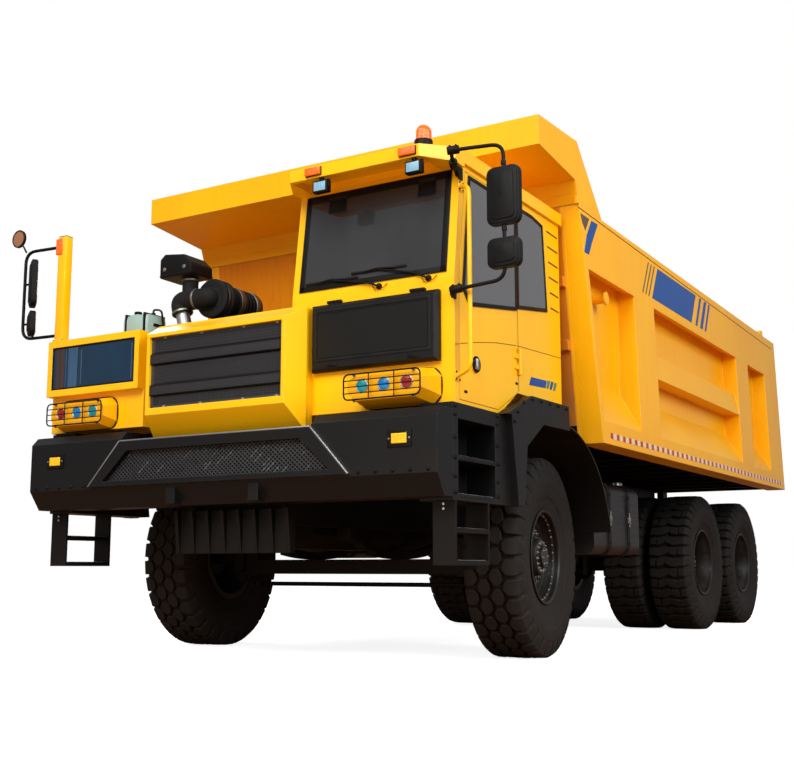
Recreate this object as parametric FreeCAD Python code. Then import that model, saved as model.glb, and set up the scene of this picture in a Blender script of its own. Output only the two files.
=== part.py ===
"""Six wheeled off road dump truck with a box bed, drawn in millimetres.

The front of the truck looks along -Y, its left side is +X and up is +Z.
Every shape is drawn from the front axle line, where y is zero, and is shifted
at the end so that the origin lies on the ground under the middle of the truck.
"""

import FreeCAD, Part
import math
import os
from FreeCAD import Vector

# Overall layout, measured along the truck
front_overhang = 2062
front_wheelbase = 5090
bogie_spacing = 1810
rear_overhang = 600
nose_y = -front_overhang
middle_axle_y = front_wheelbase
rear_axle_y = front_wheelbase + bogie_spacing
tail_y = rear_axle_y + rear_overhang

# Clearances that many pieces share
seat_gap = 0.3
panel_gap = 5
overrun = 20
slight_overrun = 5
level_tolerance = 0.001
slim_sides = 8

# Tyres and rims
front_tyre_radius = 820
rear_tyre_radius = 800
tyre_width = 500
tread_width = 410
bead_width = 370
bead_radius = 365
shoulder_drop = 125
lug_depth = 42
lug_overlap = 25
lug_pitches = 13
wheel_sides = 2 * lug_pitches
front_axle_z = front_tyre_radius * math.cos(math.pi / wheel_sides)
rear_axle_z = rear_tyre_radius * math.cos(math.pi / wheel_sides)
overall_length = rear_axle_y + max(rear_overhang, rear_tyre_radius) - nose_y
front_axle_shift = front_overhang - overall_length / 2
front_track = 3260
rear_outer_track = 2960
dual_spacing = 560
rim_wall = 32
flange_radius = 388
flange_thickness = 16
flange_gap = 6
disc_thickness = 34
front_disc_offset = 70
front_hub_radius = 150
front_hub_reach = 165
cap_radius = 92
cap_length = 30
drum_radius = 210
drum_length = 170
rear_hub_radius = 185
rear_hub_reach = 330
rear_disc_offset = 90
rear_spindle_radius = 80

# Chassis frame
rail_height = 400
rail_top_z = 1450
rail_width = 90
rail_wall = 14
frame_half_width = 450
rail_front_y = -1700
rail_end_reach = 120
cross_height = 220
cross_depth = 120

# Front axle and steering
kingpin_x = 1300
kingpin_radius = 30
steer_rest_angle = 6
knuckle_width = 90
knuckle_depth = 140
knuckle_height = 230
ear_thickness = 45
spindle_radius = 50
spindle_reach = 90
beam_height = 130
beam_depth = 140
steering_arm_length = 280
steering_arm_width = 70
steering_arm_thickness = 40
ball_pin_radius = 18
ball_pin_length = 110
tie_rod_radius = 20
tie_eye_radius = 38
tie_eye_height = 50

# Body panels
body_half_width = 1930
bumper_half_width = 1969
sheet = 30

# Bed outside
bed_half_width_foot = 2160
bed_side_taper = 55
bed_wall_inset = 210
bed_half_width_top = bed_half_width_foot - bed_side_taper
bed_wall_x = bed_half_width_foot - bed_wall_inset
bed_wall = 25
bed_top_z = 3850
bed_floor_z = 1950
bed_foot_z = 1790

# Tipping pivot and hoist
pivot_back = 350
pivot_y = rear_axle_y + pivot_back
pivot_z = 1600
pivot_radius = 45


def box(x, y, z):
    """Box between two values on each axis."""
    lengths = [high - low for low, high in (x, y, z)]
    return Part.makeBox(*lengths, Vector(x[0], y[0], z[0]))


def prism(points, axis, low, high):
    """Polygon extruded along an axis; points are (y, z), (x, z) or (x, y)."""
    place = {
        "x": lambda a, b: Vector(low, a, b),
        "y": lambda a, b: Vector(a, low, b),
        "z": lambda a, b: Vector(a, b, low),
    }[axis]
    run = {"x": Vector(1, 0, 0), "y": Vector(0, 1, 0), "z": Vector(0, 0, 1)}[axis]
    corners = [place(a, b) for a, b in points]
    face = Part.Face(Part.makePolygon(corners + corners[:1]))
    return face.extrude(run * (high - low))


def rod(start, end, radius):
    """Round bar between two points."""
    start, end = Vector(*start), Vector(*end)
    return Part.makeCylinder(radius, (end - start).Length, start, end - start)


def slim_bar(start, end, radius):
    """Slim round bar drawn with flat sides."""
    start, run = Vector(*start), Vector(*end) - Vector(*start)
    across = run.cross(Vector(0, 0, 1))
    if across.Length < run.Length / overrun:
        across = Vector(1, 0, 0)
    across = across.normalize() * radius
    spots = []
    for index in range(slim_sides):
        arm = FreeCAD.Rotation(run, index * 360 / slim_sides).multVec(across)
        spots.append(start + arm)
    return Part.Face(Part.makePolygon(spots + spots[:1])).extrude(run)


def slim_tube(points, radius):
    """Slim bent bar whose straight runs pass each other by its radius at each bend."""
    pieces = []
    last = len(points) - 2
    for index, (a, b) in enumerate(zip(points, points[1:])):
        run = (Vector(*b) - Vector(*a)).normalize() * radius
        start = Vector(*a) - run if index > 0 else Vector(*a)
        end = Vector(*b) + run if index < last else Vector(*b)
        pieces.append(slim_bar(start, end, radius))
    return fuse(pieces)


def bent_tube(points, radius):
    """Round tube along straight runs with a ball at each bend."""
    pieces = [rod(a, b, radius) for a, b in zip(points, points[1:])]
    pieces += [Part.makeSphere(radius, Vector(*p)) for p in points[1:-1]]
    return fuse(pieces)


def fuse(pieces):
    """One solid from pieces that meet."""
    if len(pieces) == 1:
        return pieces[0]
    return pieces[0].multiFuse(pieces[1:]).removeSplitter()


def mirrored(shape):
    """Copy on the other side of the truck."""
    return shape.mirror(Vector(0, 0, 0), Vector(1, 0, 0))


def both_sides(shape):
    """The shape and its mirror image, as two solids of one node."""
    return [shape, mirrored(shape)]


def moved(shape, x=0, y=0, z=0):
    """Copy of a shape moved by a distance."""
    copy = shape.copy()
    copy.translate(Vector(x, y, z))
    return copy


def turned(shape, centre, axis, angle):
    """Copy of a shape turned about an axis through a centre."""
    copy = shape.copy()
    copy.rotate(Vector(*centre), Vector(*axis), angle)
    return copy


def box_row(x, y, z, count):
    """Equal boxes in a row along y, with the ends of the row at y."""
    thick = y[2]
    pitch = (y[1] - y[0] - thick) / (count - 1)
    starts = [y[0] + i * pitch for i in range(count)]
    return [box(x, (start, start + thick), z) for start in starts]


def many_sided(radius, low, high):
    """Many sided drum about the wheel axis, in line with the tyre's facets."""
    step = 2 * math.pi / wheel_sides
    corners = [(radius * math.cos(i * step), radius * math.sin(i * step)) for i in range(wheel_sides)]
    return prism(corners, "x", low, high)


def tyre_sector(outline, start, end):
    """Wedge of a tyre between two angles, with flat faces; the outline is (x, radius) points."""
    rings = []
    for angle in (start, end):
        rings.append([Vector(x, r * math.cos(angle), r * math.sin(angle)) for x, r in outline])
    loops = [rings[0], rings[1]]
    for index, spot in enumerate(rings[0]):
        loops.append([rings[0][index - 1], spot, rings[1][index], rings[1][index - 1]])
    faces = [Part.Face(Part.makePolygon(loop + loop[:1])) for loop in loops]
    return Part.Solid(Part.makeShell(faces))


def tyre(radius):
    """Tyre about the x axis, with lugs that alternate between its two halves."""
    bead, tread, wall = bead_width / 2, tread_width / 2, tyre_width / 2
    floor = radius - lug_depth
    shoulder = radius - shoulder_drop
    lug_left = [
        (-bead, bead_radius), (-wall, shoulder), (-tread, radius), (lug_overlap, radius),
        (lug_overlap, floor), (tread, floor), (wall, shoulder), (bead, bead_radius),
    ]
    lug_right = [(-x, r) for x, r in reversed(lug_left)]
    step = 2 * math.pi / wheel_sides
    wedges = []
    for index in range(wheel_sides):
        outline = lug_left if index % 2 else lug_right
        wedges.append(tyre_sector(outline, index * step, (index + 1) * step))
    return fuse(wedges)


def rim_barrel(half_length):
    """Rim drum with a flange at both ends, ready for its disc."""
    edge = half_length + flange_gap + flange_thickness
    pieces = [many_sided(bead_radius - seat_gap, -edge, edge)]
    for low in (-edge, half_length + flange_gap):
        pieces.append(many_sided(flange_radius, low, low + flange_thickness))
    hole = many_sided(bead_radius - rim_wall, -edge - overrun, edge + overrun)
    return fuse(pieces).cut(hole), edge


def front_rim():
    """Single rim with its disc, hub, cap and brake drum, about the x axis."""
    barrel, edge = rim_barrel(bead_width / 2)
    back = front_disc_offset - disc_thickness
    disc = many_sided(bead_radius - rim_wall + slight_overrun, back, front_disc_offset)
    hub = rod((-edge / 2, 0, 0), (front_hub_reach, 0, 0), front_hub_radius)
    cap = rod((front_hub_reach, 0, 0), (front_hub_reach + cap_length, 0, 0), cap_radius)
    drum = rod((back - drum_length, 0, 0), (back, 0, 0), drum_radius)
    bore = rod((-edge - drum_length, 0, 0), (spindle_reach, 0, 0), spindle_radius + seat_gap)
    return fuse([barrel, disc, hub, cap, drum]).cut(bore)


def dual_rim():
    """Rim for two tyres with its deep disc, planetary hub and cap, about the x axis."""
    barrel, edge = rim_barrel((dual_spacing + bead_width) / 2)
    back = rear_disc_offset - disc_thickness
    disc = many_sided(bead_radius - rim_wall + slight_overrun, back, rear_disc_offset)
    hub = rod((-drum_length, 0, 0), (rear_hub_reach, 0, 0), rear_hub_radius)
    cap = rod((rear_hub_reach, 0, 0), (rear_hub_reach + cap_length, 0, 0), cap_radius)
    bore = rod((-edge, 0, 0), (0, 0, 0), rear_spindle_radius + seat_gap)
    return fuse([barrel, disc, hub, cap]).cut(bore)


def steered(shape):
    """A left side piece turned with the front wheels as they stand."""
    return turned(shape, (kingpin_x, 0, 0), (0, 0, 1), steer_rest_angle)


def front_wheels():
    """Tyre and rim on each side, steered as they stand."""
    centre = front_track / 2
    shapes = {}
    tyre_shape, rim_shape = tyre(front_tyre_radius), front_rim()
    for side, sign in (("left", 1), ("right", -1)):
        for name, shape in (("tyre", tyre_shape), ("rim", rim_shape)):
            if sign < 0:
                shape = mirrored(shape)
            placed = moved(shape, x=sign * centre, z=front_axle_z)
            pin = (sign * kingpin_x, 0, 0)
            shapes[f"{name}_front_{side}"] = [turned(placed, pin, (0, 0, 1), steer_rest_angle)]
    return shapes


def rear_wheels():
    """Twin tyres and their rim for each end of the two rear axles."""
    centre = (rear_outer_track - dual_spacing) / 2
    shapes = {}
    tyre_shape, rim_shape = tyre(rear_tyre_radius), dual_rim()
    for axle, y in (("middle", middle_axle_y), ("rear", rear_axle_y)):
        for side, sign in (("left", 1), ("right", -1)):
            hub = dict(x=sign * centre, y=y, z=rear_axle_z)
            pair = [moved(tyre_shape, x=offset) for offset in (dual_spacing / 2, -dual_spacing / 2)]
            rim = rim_shape if sign > 0 else mirrored(rim_shape)
            shapes[f"tyres_{axle}_{side}"] = [moved(piece, **hub) for piece in pair]
            shapes[f"rim_{axle}_{side}"] = [moved(rim, **hub)]
    return shapes


# Chassis frame, its hangers and its rear end
rail_bottom_z = rail_top_z - rail_height
rail_end_y = pivot_y + rail_end_reach
cross_before_bogie = 1790
cross_behind_pivot = 20
cross_places = (
    -1500, 1300, middle_axle_y - cross_before_bogie, middle_axle_y + bogie_spacing / 2,
    pivot_y + cross_behind_pivot,
)
cross_top_drop = 60
ear_radius = 92
hanger_depth = 200
hanger_thickness = 36
hanger_end_drop = 62
tow_plate_half = 70
tow_plate_thickness = 36
tow_mouth = 80
tow_reach = 110
tow_pin_radius = 30


def rail():
    """Left frame rail, a channel open towards the middle."""
    web_x = (frame_half_width - rail_wall, frame_half_width)
    web = box(web_x, (rail_front_y, rail_end_y), (rail_bottom_z, rail_top_z))
    flange_x = (frame_half_width - rail_width, frame_half_width)
    low = box(flange_x, (rail_front_y, rail_end_y), (rail_bottom_z, rail_bottom_z + rail_wall))
    high = box(flange_x, (rail_front_y, rail_end_y), (rail_top_z - rail_wall, rail_top_z))
    return fuse([web, low, high])


def pivot_ear():
    """Ear on the left rail's end with the stub that carries the bed."""
    x = (frame_half_width - rail_width, frame_half_width)
    plate = box(x, (pivot_y - ear_radius, pivot_y + ear_radius), (rail_bottom_z, pivot_z))
    crown = rod((x[0], pivot_y, pivot_z), (x[1], pivot_y, pivot_z), ear_radius)
    stub_end = frame_half_width + pivot_lug_gap + pivot_lug_width
    stub = rod((x[0], pivot_y, pivot_z), (stub_end, pivot_y, pivot_z), pivot_radius)
    return fuse([plate, crown, stub])


def hoist_hanger():
    """Hanger plate under a rail that carries the hoist's lower shaft."""
    x = (frame_half_width - hanger_thickness, frame_half_width)
    y = (hoist_foot_y - hanger_depth / 2, hoist_foot_y + hanger_depth / 2)
    return box(x, y, (hoist_foot_z - hanger_end_drop, rail_top_z - rail_wall))


def tow_clevis():
    """Tow clevis behind the last cross member: two round nosed plates with an upright bore."""
    root_y = cross_places[-1] + cross_depth / 2
    nose = root_y + tow_reach
    top = rail_top_z - cross_top_drop - tow_plate_thickness
    plates = []
    for high in (top, top - tow_mouth - tow_plate_thickness):
        z = (high - tow_plate_thickness, high)
        plates.append(box((-tow_plate_half, tow_plate_half), (root_y, nose), z))
        plates.append(rod((0, nose, z[0]), (0, nose, z[1]), tow_plate_half))
    back_z = (top - tow_mouth - 2 * tow_plate_thickness, top)
    plates.append(box((-tow_plate_half, tow_plate_half), (root_y, root_y + tow_plate_thickness), back_z))
    hole = rod((0, nose, back_z[0] - overrun), (0, nose, top + overrun), tow_pin_radius)
    return fuse(plates).cut(hole)


def cross_shafts():
    """Shafts between the rails: one between the pivot ears and one for the hoist's feet."""
    pivot_half = frame_half_width - rail_width
    foot_half = frame_half_width - hanger_thickness
    pivot_bar = rod((-pivot_half, pivot_y, pivot_z), (pivot_half, pivot_y, pivot_z), pivot_radius)
    foot_spot = (hoist_foot_y, hoist_foot_z)
    foot_bar = rod((-foot_half, *foot_spot), (foot_half, *foot_spot), hoist_pin_radius)
    return [pivot_bar, foot_bar]


def cross_members():
    """Cross members between the webs of the two rails."""
    half = frame_half_width - rail_wall
    top = rail_top_z - cross_top_drop
    z = (top - cross_height, top)
    return [box((-half, half), (y - cross_depth / 2, y + cross_depth / 2), z) for y in cross_places]


def chassis_frame():
    """Rails, cross members, shafts, tank brackets, cab platform and tow clevis, welded where they touch."""
    solids = both_sides(fuse([rail(), pivot_ear(), hoist_hanger()]))
    solids += cross_members() + cross_shafts()
    for arm in tank_arms():
        solids += both_sides(arm)
    return solids + platform() + [tow_clevis()]


# Tipping hoist: the foot and the head of the cylinder lie on one circle about the tipping pivot
hoist_reach = 2900
hoist_head_z = 1800
hoist_rest_angle = 22
hoist_x = 235
hoist_pin_radius = 30
hoist_eye_radius = 62
hoist_eye_width = 120
hoist_barrel_radius = 108
hoist_tube_wall = 16
hoist_running_gap = 0.5
hoist_tube_clearance = 4
hoist_head_clearance = 157
hoist_tube_start = 90
hoist_slot = 46
pivot_lug_gap = 12
pivot_lug_width = 90

hoist_step = hoist_tube_wall + hoist_running_gap
hoist_tube_radii = [hoist_barrel_radius - index * hoist_step for index in range(3)]
hoist_rod_radius = hoist_tube_radii[-1] - hoist_step
hoist_head_angle = math.asin((hoist_head_z - pivot_z) / hoist_reach)
hoist_foot_angle = hoist_head_angle - math.radians(hoist_rest_angle)
hoist_head_y = pivot_y - hoist_reach * math.cos(hoist_head_angle)
hoist_foot_y = pivot_y - hoist_reach * math.cos(hoist_foot_angle)
hoist_foot_z = pivot_z + hoist_reach * math.sin(hoist_foot_angle)
hoist_length = 2 * hoist_reach * math.sin(math.radians(hoist_rest_angle) / 2)
hoist_tube_length = hoist_length - hoist_tube_start - hoist_head_clearance
hoist_lean = math.degrees(math.atan2(hoist_foot_y - hoist_head_y, hoist_head_z - hoist_foot_z))


def hoist_pair(upright):
    """Left and right copies of a piece drawn upright over the hoist's foot."""
    leaning = turned(upright, (0, 0, 0), (1, 0, 0), hoist_lean)
    return [moved(leaning, sign * hoist_x, hoist_foot_y, hoist_foot_z) for sign in (1, -1)]


def hoist_tube(radius):
    """Hollow stage of the hoist, open at its top."""
    start, end = hoist_tube_start, hoist_tube_start + hoist_tube_length
    tube = rod((0, 0, start), (0, 0, end), radius)
    return tube.cut(rod((0, 0, start + hoist_tube_wall), (0, 0, end + overrun), radius - hoist_tube_wall))


def hoist_pieces():
    """Barrel with its foot eye, two stages, and the rod with its slotted head eye."""
    half = hoist_eye_width / 2
    barrel = hoist_tube(hoist_tube_radii[0])
    foot_eye = rod((-half, 0, 0), (half, 0, 0), hoist_eye_radius)
    neck = rod((0, 0, 0), (0, 0, hoist_tube_start + hoist_tube_wall / 2), hoist_eye_radius)
    foot_hole = rod((-half - overrun, 0, 0), (half + overrun, 0, 0), hoist_pin_radius + seat_gap)
    barrel = fuse([barrel, foot_eye, neck]).cut(foot_hole)
    stages = []
    for index, radius in enumerate(hoist_tube_radii[1:], start=1):
        lift = index * (hoist_tube_wall + hoist_tube_clearance)
        stages.append(moved(hoist_tube(radius), z=lift))
    base = hoist_tube_start + len(hoist_tube_radii) * (hoist_tube_wall + hoist_tube_clearance)
    head = hoist_length
    stem = rod((0, 0, base), (0, 0, head), hoist_rod_radius)
    head_eye = rod((-half, 0, head), (half, 0, head), hoist_eye_radius)
    slot_top = rod((-half, 0, head + hoist_slot), (half, 0, head + hoist_slot), hoist_eye_radius)
    cheek = box((-half, half), (-hoist_eye_radius, hoist_eye_radius), (head, head + hoist_slot))
    bore = hoist_pin_radius + seat_gap
    low_hole = rod((-half - overrun, 0, head), (half + overrun, 0, head), bore)
    high_hole = moved(low_hole, z=hoist_slot)
    middle_hole = box((-half - overrun, half + overrun), (-bore, bore), (head, head + hoist_slot))
    rod_shape = fuse([stem, head_eye, slot_top, cheek]).cut(fuse([low_hole, high_hole, middle_hole]))
    names = ("hoist_barrel", "hoist_stage_lower", "hoist_stage_upper", "hoist_rod")
    return {name: hoist_pair(shape) for name, shape in zip(names, [barrel] + stages + [rod_shape])}


# Front axle, knuckles and steering
ear_z_half = knuckle_height / 2 + panel_gap
beam_top_z = 800
beam_inner_gap = 12
arm_top_z = 640
spring_x = 450
spring_width = 100
leaf_thickness = 22
spring_half_length = 850
spring_camber = 130
spring_leaves = 3
leaf_step = 190


def leaf_pack(half_length, camber, low_z, leaves, sense):
    """Stack of curved leaves across y, thickest in the middle; sense is 1 when its ends turn up."""
    pieces = []
    for index in range(leaves):
        reach = half_length - index * leaf_step
        rise = camber * (reach / half_length) ** 2
        base = low_z - sense * index * leaf_thickness
        lower = arc_face(reach, base, sense * rise)
        pieces.append(lower)
    return fuse(pieces)


def arc_face(reach, base, rise):
    """One leaf: an arc through its two ends and its middle, given a thickness and a width."""
    def arc(z):
        return Part.Arc(Vector(0, -reach, z + rise), Vector(0, 0, z), Vector(0, reach, z + rise)).toShape()
    under, over = arc(base), arc(base + leaf_thickness)
    low, high = base + rise, base + rise + leaf_thickness
    ends = [Part.makeLine(Vector(0, y, low), Vector(0, y, high)) for y in (-reach, reach)]
    wire = Part.Wire(Part.__sortEdges__([under, ends[1], over, ends[0]]))
    return Part.Face(wire).extrude(Vector(spring_width, 0, 0))


def front_springs():
    """Leaf springs over the front axle with their end hangers up to the rails."""
    low = beam_top_z + (spring_leaves - 1) * leaf_thickness
    pack = leaf_pack(spring_half_length, spring_camber, low, spring_leaves, 1)
    pack = moved(pack, x=spring_x - spring_width / 2)
    end_z = low + spring_camber
    pieces = [pack]
    for sign in (-1, 1):
        y = sorted((sign * spring_half_length, sign * (spring_half_length - spring_width)))
        x = (frame_half_width - rail_width, spring_x + spring_width / 2)
        pieces.append(box(x, y, (end_z - leaf_thickness, rail_bottom_z)))
    return both_sides(fuse(pieces))


def front_axle():
    """Beam between the two kingpins, with a fork at each end."""
    fork_inner = kingpin_x - math.hypot(knuckle_width, knuckle_depth) / 2 - beam_inner_gap
    y = (-beam_depth / 2, beam_depth / 2)
    pieces = [box((-fork_inner, fork_inner), y, (beam_top_z - beam_height, beam_top_z))]
    ears_z = (front_axle_z - ear_z_half - ear_thickness, front_axle_z + ear_z_half)
    holes = []
    for sign in (-1, 1):
        x = sorted((sign * (fork_inner - beam_depth), sign * (kingpin_x + knuckle_width / 2)))
        for low in ears_z:
            pieces.append(box(x, y, (low, low + ear_thickness)))
        cheek_x = sorted((sign * (fork_inner - beam_depth), sign * fork_inner))
        pieces.append(box(cheek_x, y, (front_axle_z - ear_z_half, front_axle_z + ear_z_half)))
        pin = (sign * kingpin_x, 0)
        foot, head = ears_z[0] - overrun, ears_z[1] + ear_thickness + overrun
        holes.append(rod((*pin, foot), (*pin, head), kingpin_radius + seat_gap))
    return [fuse(pieces).cut(fuse_all(holes))]


def knuckle():
    """Left knuckle standing straight: block, kingpin, spindle, and arm with its ball pin."""
    x = (kingpin_x - knuckle_width / 2, kingpin_x + knuckle_width / 2)
    y = (-knuckle_depth / 2, knuckle_depth / 2)
    z_half = knuckle_height / 2
    block = box(x, y, (front_axle_z - z_half, front_axle_z + z_half))
    pin_top = front_axle_z + ear_z_half + ear_thickness
    pin = rod((kingpin_x, 0, arm_top_z - steering_arm_thickness), (kingpin_x, 0, pin_top), kingpin_radius)
    spindle_end = front_track / 2 + spindle_reach - overrun
    spindle = rod((kingpin_x, 0, front_axle_z), (spindle_end, 0, front_axle_z), spindle_radius)
    half = steering_arm_width / 2
    arm_z = (arm_top_z - steering_arm_thickness, arm_top_z)
    arm = box((kingpin_x - half, kingpin_x + half), (-half, steering_arm_length + half), arm_z)
    low = arm_top_z - steering_arm_thickness - ball_pin_length / 2
    spot = (kingpin_x, steering_arm_length)
    ball_pin = rod((*spot, low), (*spot, arm_top_z), ball_pin_radius)
    return fuse([block, pin, spindle, arm, ball_pin])


def knuckles():
    """Both knuckles, steered as the wheels stand."""
    shape = knuckle()
    right = turned(mirrored(shape), (-kingpin_x, 0, 0), (0, 0, 1), steer_rest_angle)
    return {"knuckle_left": [steered(shape)], "knuckle_right": [right]}


def tie_rod():
    """Tie rod between the two steering arms."""
    angle = math.radians(steer_rest_angle)
    y = steering_arm_length * math.cos(angle)
    shift = -steering_arm_length * math.sin(angle)
    top = arm_top_z - steering_arm_thickness - 2 * seat_gap
    low = top - tie_eye_height
    pieces, holes = [], []
    for sign in (-1, 1):
        x = sign * kingpin_x + shift
        pieces.append(rod((x, y, low), (x, y, top), tie_eye_radius))
        holes.append(rod((x, y, low - overrun), (x, y, top + overrun), ball_pin_radius + seat_gap))
    middle = (low + top) / 2
    pieces.append(rod((shift - kingpin_x, y, middle), (shift + kingpin_x, y, middle), tie_rod_radius))
    return [fuse(pieces).cut(fuse_all(holes))]


def fuse_all(pieces):
    """Compound used as one cutting tool for holes that don't meet."""
    return Part.makeCompound(pieces)


# Rear axles and their suspension
rear_tube_radius = 105
diff_radius = 205
diff_half_length = 190
rear_spring_x = 560
rear_spring_camber = 60
rear_spring_leaves = 4
trunnion_radius = 70
saddle_half = 130


def rear_axle(y):
    """Axle tube with its centre case and spindles; the case is round about the wheel axis."""
    centre = (rear_outer_track - dual_spacing) / 2
    tube_end = centre - drum_length - slight_overrun
    z = rear_axle_z
    tube = rod((-tube_end, y, z), (tube_end, y, z), rear_tube_radius)
    spindle = rod((-centre + slight_overrun, y, z), (centre - slight_overrun, y, z), rear_spindle_radius)
    case = rod((-diff_half_length, y, z), (diff_half_length, y, z), diff_radius)
    return fuse([tube, spindle, case])


def rear_suspension():
    """Spring packs between the two axles, on saddles carried by a trunnion bar."""
    trunnion_y = (middle_axle_y + rear_axle_y) / 2
    reach = bogie_spacing / 2
    seat_z = rear_axle_z + rear_tube_radius
    base = seat_z + rear_spring_camber
    pack = leaf_pack(reach, rear_spring_camber, base, 1, -1)
    for index in range(1, rear_spring_leaves):
        shorter = reach - index * leaf_step
        rise = rear_spring_camber * (shorter / reach) ** 2
        pack = pack.fuse(arc_face(shorter, base + index * leaf_thickness, -rise))
    pack = moved(pack, x=rear_spring_x - spring_width / 2, y=trunnion_y)
    top = base + rear_spring_leaves * leaf_thickness
    x = (rear_spring_x - spring_width / 2, rear_spring_x + spring_width / 2)
    saddle = box(x, (trunnion_y - saddle_half, trunnion_y + saddle_half), (seat_z - saddle_half, top))
    side = fuse([pack, saddle])
    z = seat_z - saddle_half + trunnion_radius
    bar_end = rear_spring_x + spring_width / 2
    stub = rod((frame_half_width - rail_width, trunnion_y, z), (bar_end, trunnion_y, z), trunnion_radius)
    cheek_x = (frame_half_width - rail_width, frame_half_width)
    cheek_y = (trunnion_y - saddle_half, trunnion_y + saddle_half)
    cheek = box(cheek_x, cheek_y, (z - trunnion_radius, rail_bottom_z))
    return both_sides(fuse([side, stub, cheek]))


# Driveline, engine and tanks
shaft_radius = 55
shaft_z = 930
engine_half_width = 330
engine_y = (-1150, 300)
engine_z = (880, 1690)
engine_shoulder = 110
engine_feet_y = (-950, 100)
engine_foot_width = 120
engine_foot_height = 70
gearbox = dict(x=(-270, 270), y=(engine_y[1], 1180), z=(860, 1390))


def engine_block():
    """Engine as one plain block with sloping shoulders, on four feet that stand on the rails."""
    w, s = engine_half_width, engine_shoulder
    low, high = engine_z
    right = [(0, low), (w - s, low), (w, low + s), (w, high - s), (w - s, high), (0, high)]
    outline = right + [(-x, z) for x, z in reversed(right[1:-1])]
    pieces = [prism(outline, "y", *engine_y)]
    foot_x = (engine_half_width - overrun, frame_half_width - rail_wall - seat_gap)
    foot_z = (rail_bottom_z + rail_wall, rail_bottom_z + rail_wall + engine_foot_height)
    for y in engine_feet_y:
        pieces += both_sides(box(foot_x, (y, y + engine_foot_width), foot_z))
    return [fuse(pieces)]


def driveline():
    """Gearbox block and the shafts between it and the two rear axles."""
    first = rod((0, gearbox["y"][1] - overrun, shaft_z), (0, middle_axle_y, shaft_z), shaft_radius)
    second = rod((0, middle_axle_y, rear_axle_z), (0, rear_axle_y, rear_axle_z), shaft_radius)
    cases = fuse_all([rear_axle(middle_axle_y), rear_axle(rear_axle_y)])
    first = fuse([box(**gearbox), first]).cut(rear_axle(middle_axle_y))
    return [first, second.cut(cases)]


tank_y = (1250, 2480)
tank_z = (850, 1520)
tank_x = (1060, 1790)
tank_corner = 90
tank_straps_y = (1630, 2150)
tank_cap_y = 2330
tank_arm_height = 120
strap_half_width = 35
strap_thickness = 12
cap_height = 60
tank_cap_radius = 65


def side_tank():
    """Tank beside the left rail, round at its corners, with its straps and cap."""
    def rounded(x, y, z, radius):
        body = box(x, y, z)
        edges = [e for e in body.Edges if abs(e.Vertexes[0].Y - e.Vertexes[-1].Y) > level_tolerance]
        return body.makeFillet(radius, edges)
    pieces = [rounded(tank_x, tank_y, tank_z, tank_corner)]
    out = strap_thickness
    for y in tank_straps_y:
        span = (y - strap_half_width, y + strap_half_width)
        x, z = (tank_x[0] - out, tank_x[1] + out), (tank_z[0] - out, tank_z[1] + out)
        pieces.append(rounded(x, span, z, tank_corner + out))
    cap = (tank_x[1] - 2 * tank_corner, tank_cap_y)
    pieces.append(rod((*cap, tank_z[1] - overrun), (*cap, tank_z[1] + cap_height), tank_cap_radius))
    return fuse(pieces)


def tank_arms():
    """Brackets that carry a tank from its rail, behind its straps."""
    x = (frame_half_width, tank_x[0] - strap_thickness)
    z = (rail_bottom_z, rail_bottom_z + tank_arm_height)
    return [box(x, (y - strap_half_width, y + strap_half_width), z) for y in tank_straps_y]


# Front bumper
bumper_back_y = -1700
bumper_z = (1205, 1360, 1750, 1815)
bumper_middle_half = 935
bumper_middle_top_z = 1734
bumper_lower_back = 105
bumper_upper_back = 62
bumper_wall = 20
frame_depth = 26
frame_top_half = 930
frame_foot_half = 1260
frame_z = (1372, 1725)
mesh_top_half = 850
mesh_foot_half = 1110
mesh_z = (1412, 1650)
mesh_plate = 8
fog_x = (1592, 1759)
fog_z = (1555, 1650)
fog_depth = 60
fog_lens = 12


def bumper_outline(inset, top):
    """Side outline of the bumper up to a height, drawn in by an inset."""
    low, edge_low, edge_high, _ = bumper_z
    front = nose_y + frame_depth + inset
    shoulder = min(edge_high, top - inset)
    return [
        (front, edge_low), (front, shoulder), (front + bumper_upper_back, top - inset),
        (bumper_back_y + inset, top - inset), (bumper_back_y + inset, low + inset),
        (front + bumper_lower_back, low + inset),
    ]


def bumper_block(inset):
    """Bumper volume, lower in its middle, drawn in by an inset."""
    half, step = bumper_half_width - inset, bumper_middle_half + inset
    pieces = [prism(bumper_outline(inset, bumper_middle_top_z), "x", -half, half)]
    pieces += both_sides(prism(bumper_outline(inset, bumper_z[3]), "x", step, half))
    return fuse(pieces)


def mesh_outline(grow):
    """Front outline of the bumper's mesh opening, in x and z."""
    low, high = mesh_z
    top, foot = mesh_top_half + grow, mesh_foot_half + grow
    return [(-foot, low - grow), (foot, low - grow), (top, high + grow), (-top, high + grow)]


def frame_outline():
    """Front outline of the raised frame round the mesh opening, in x and z."""
    low, high = frame_z
    foot, top = frame_foot_half, frame_top_half
    return [(-foot, low), (foot, low), (top, high), (-top, high)]


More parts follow.
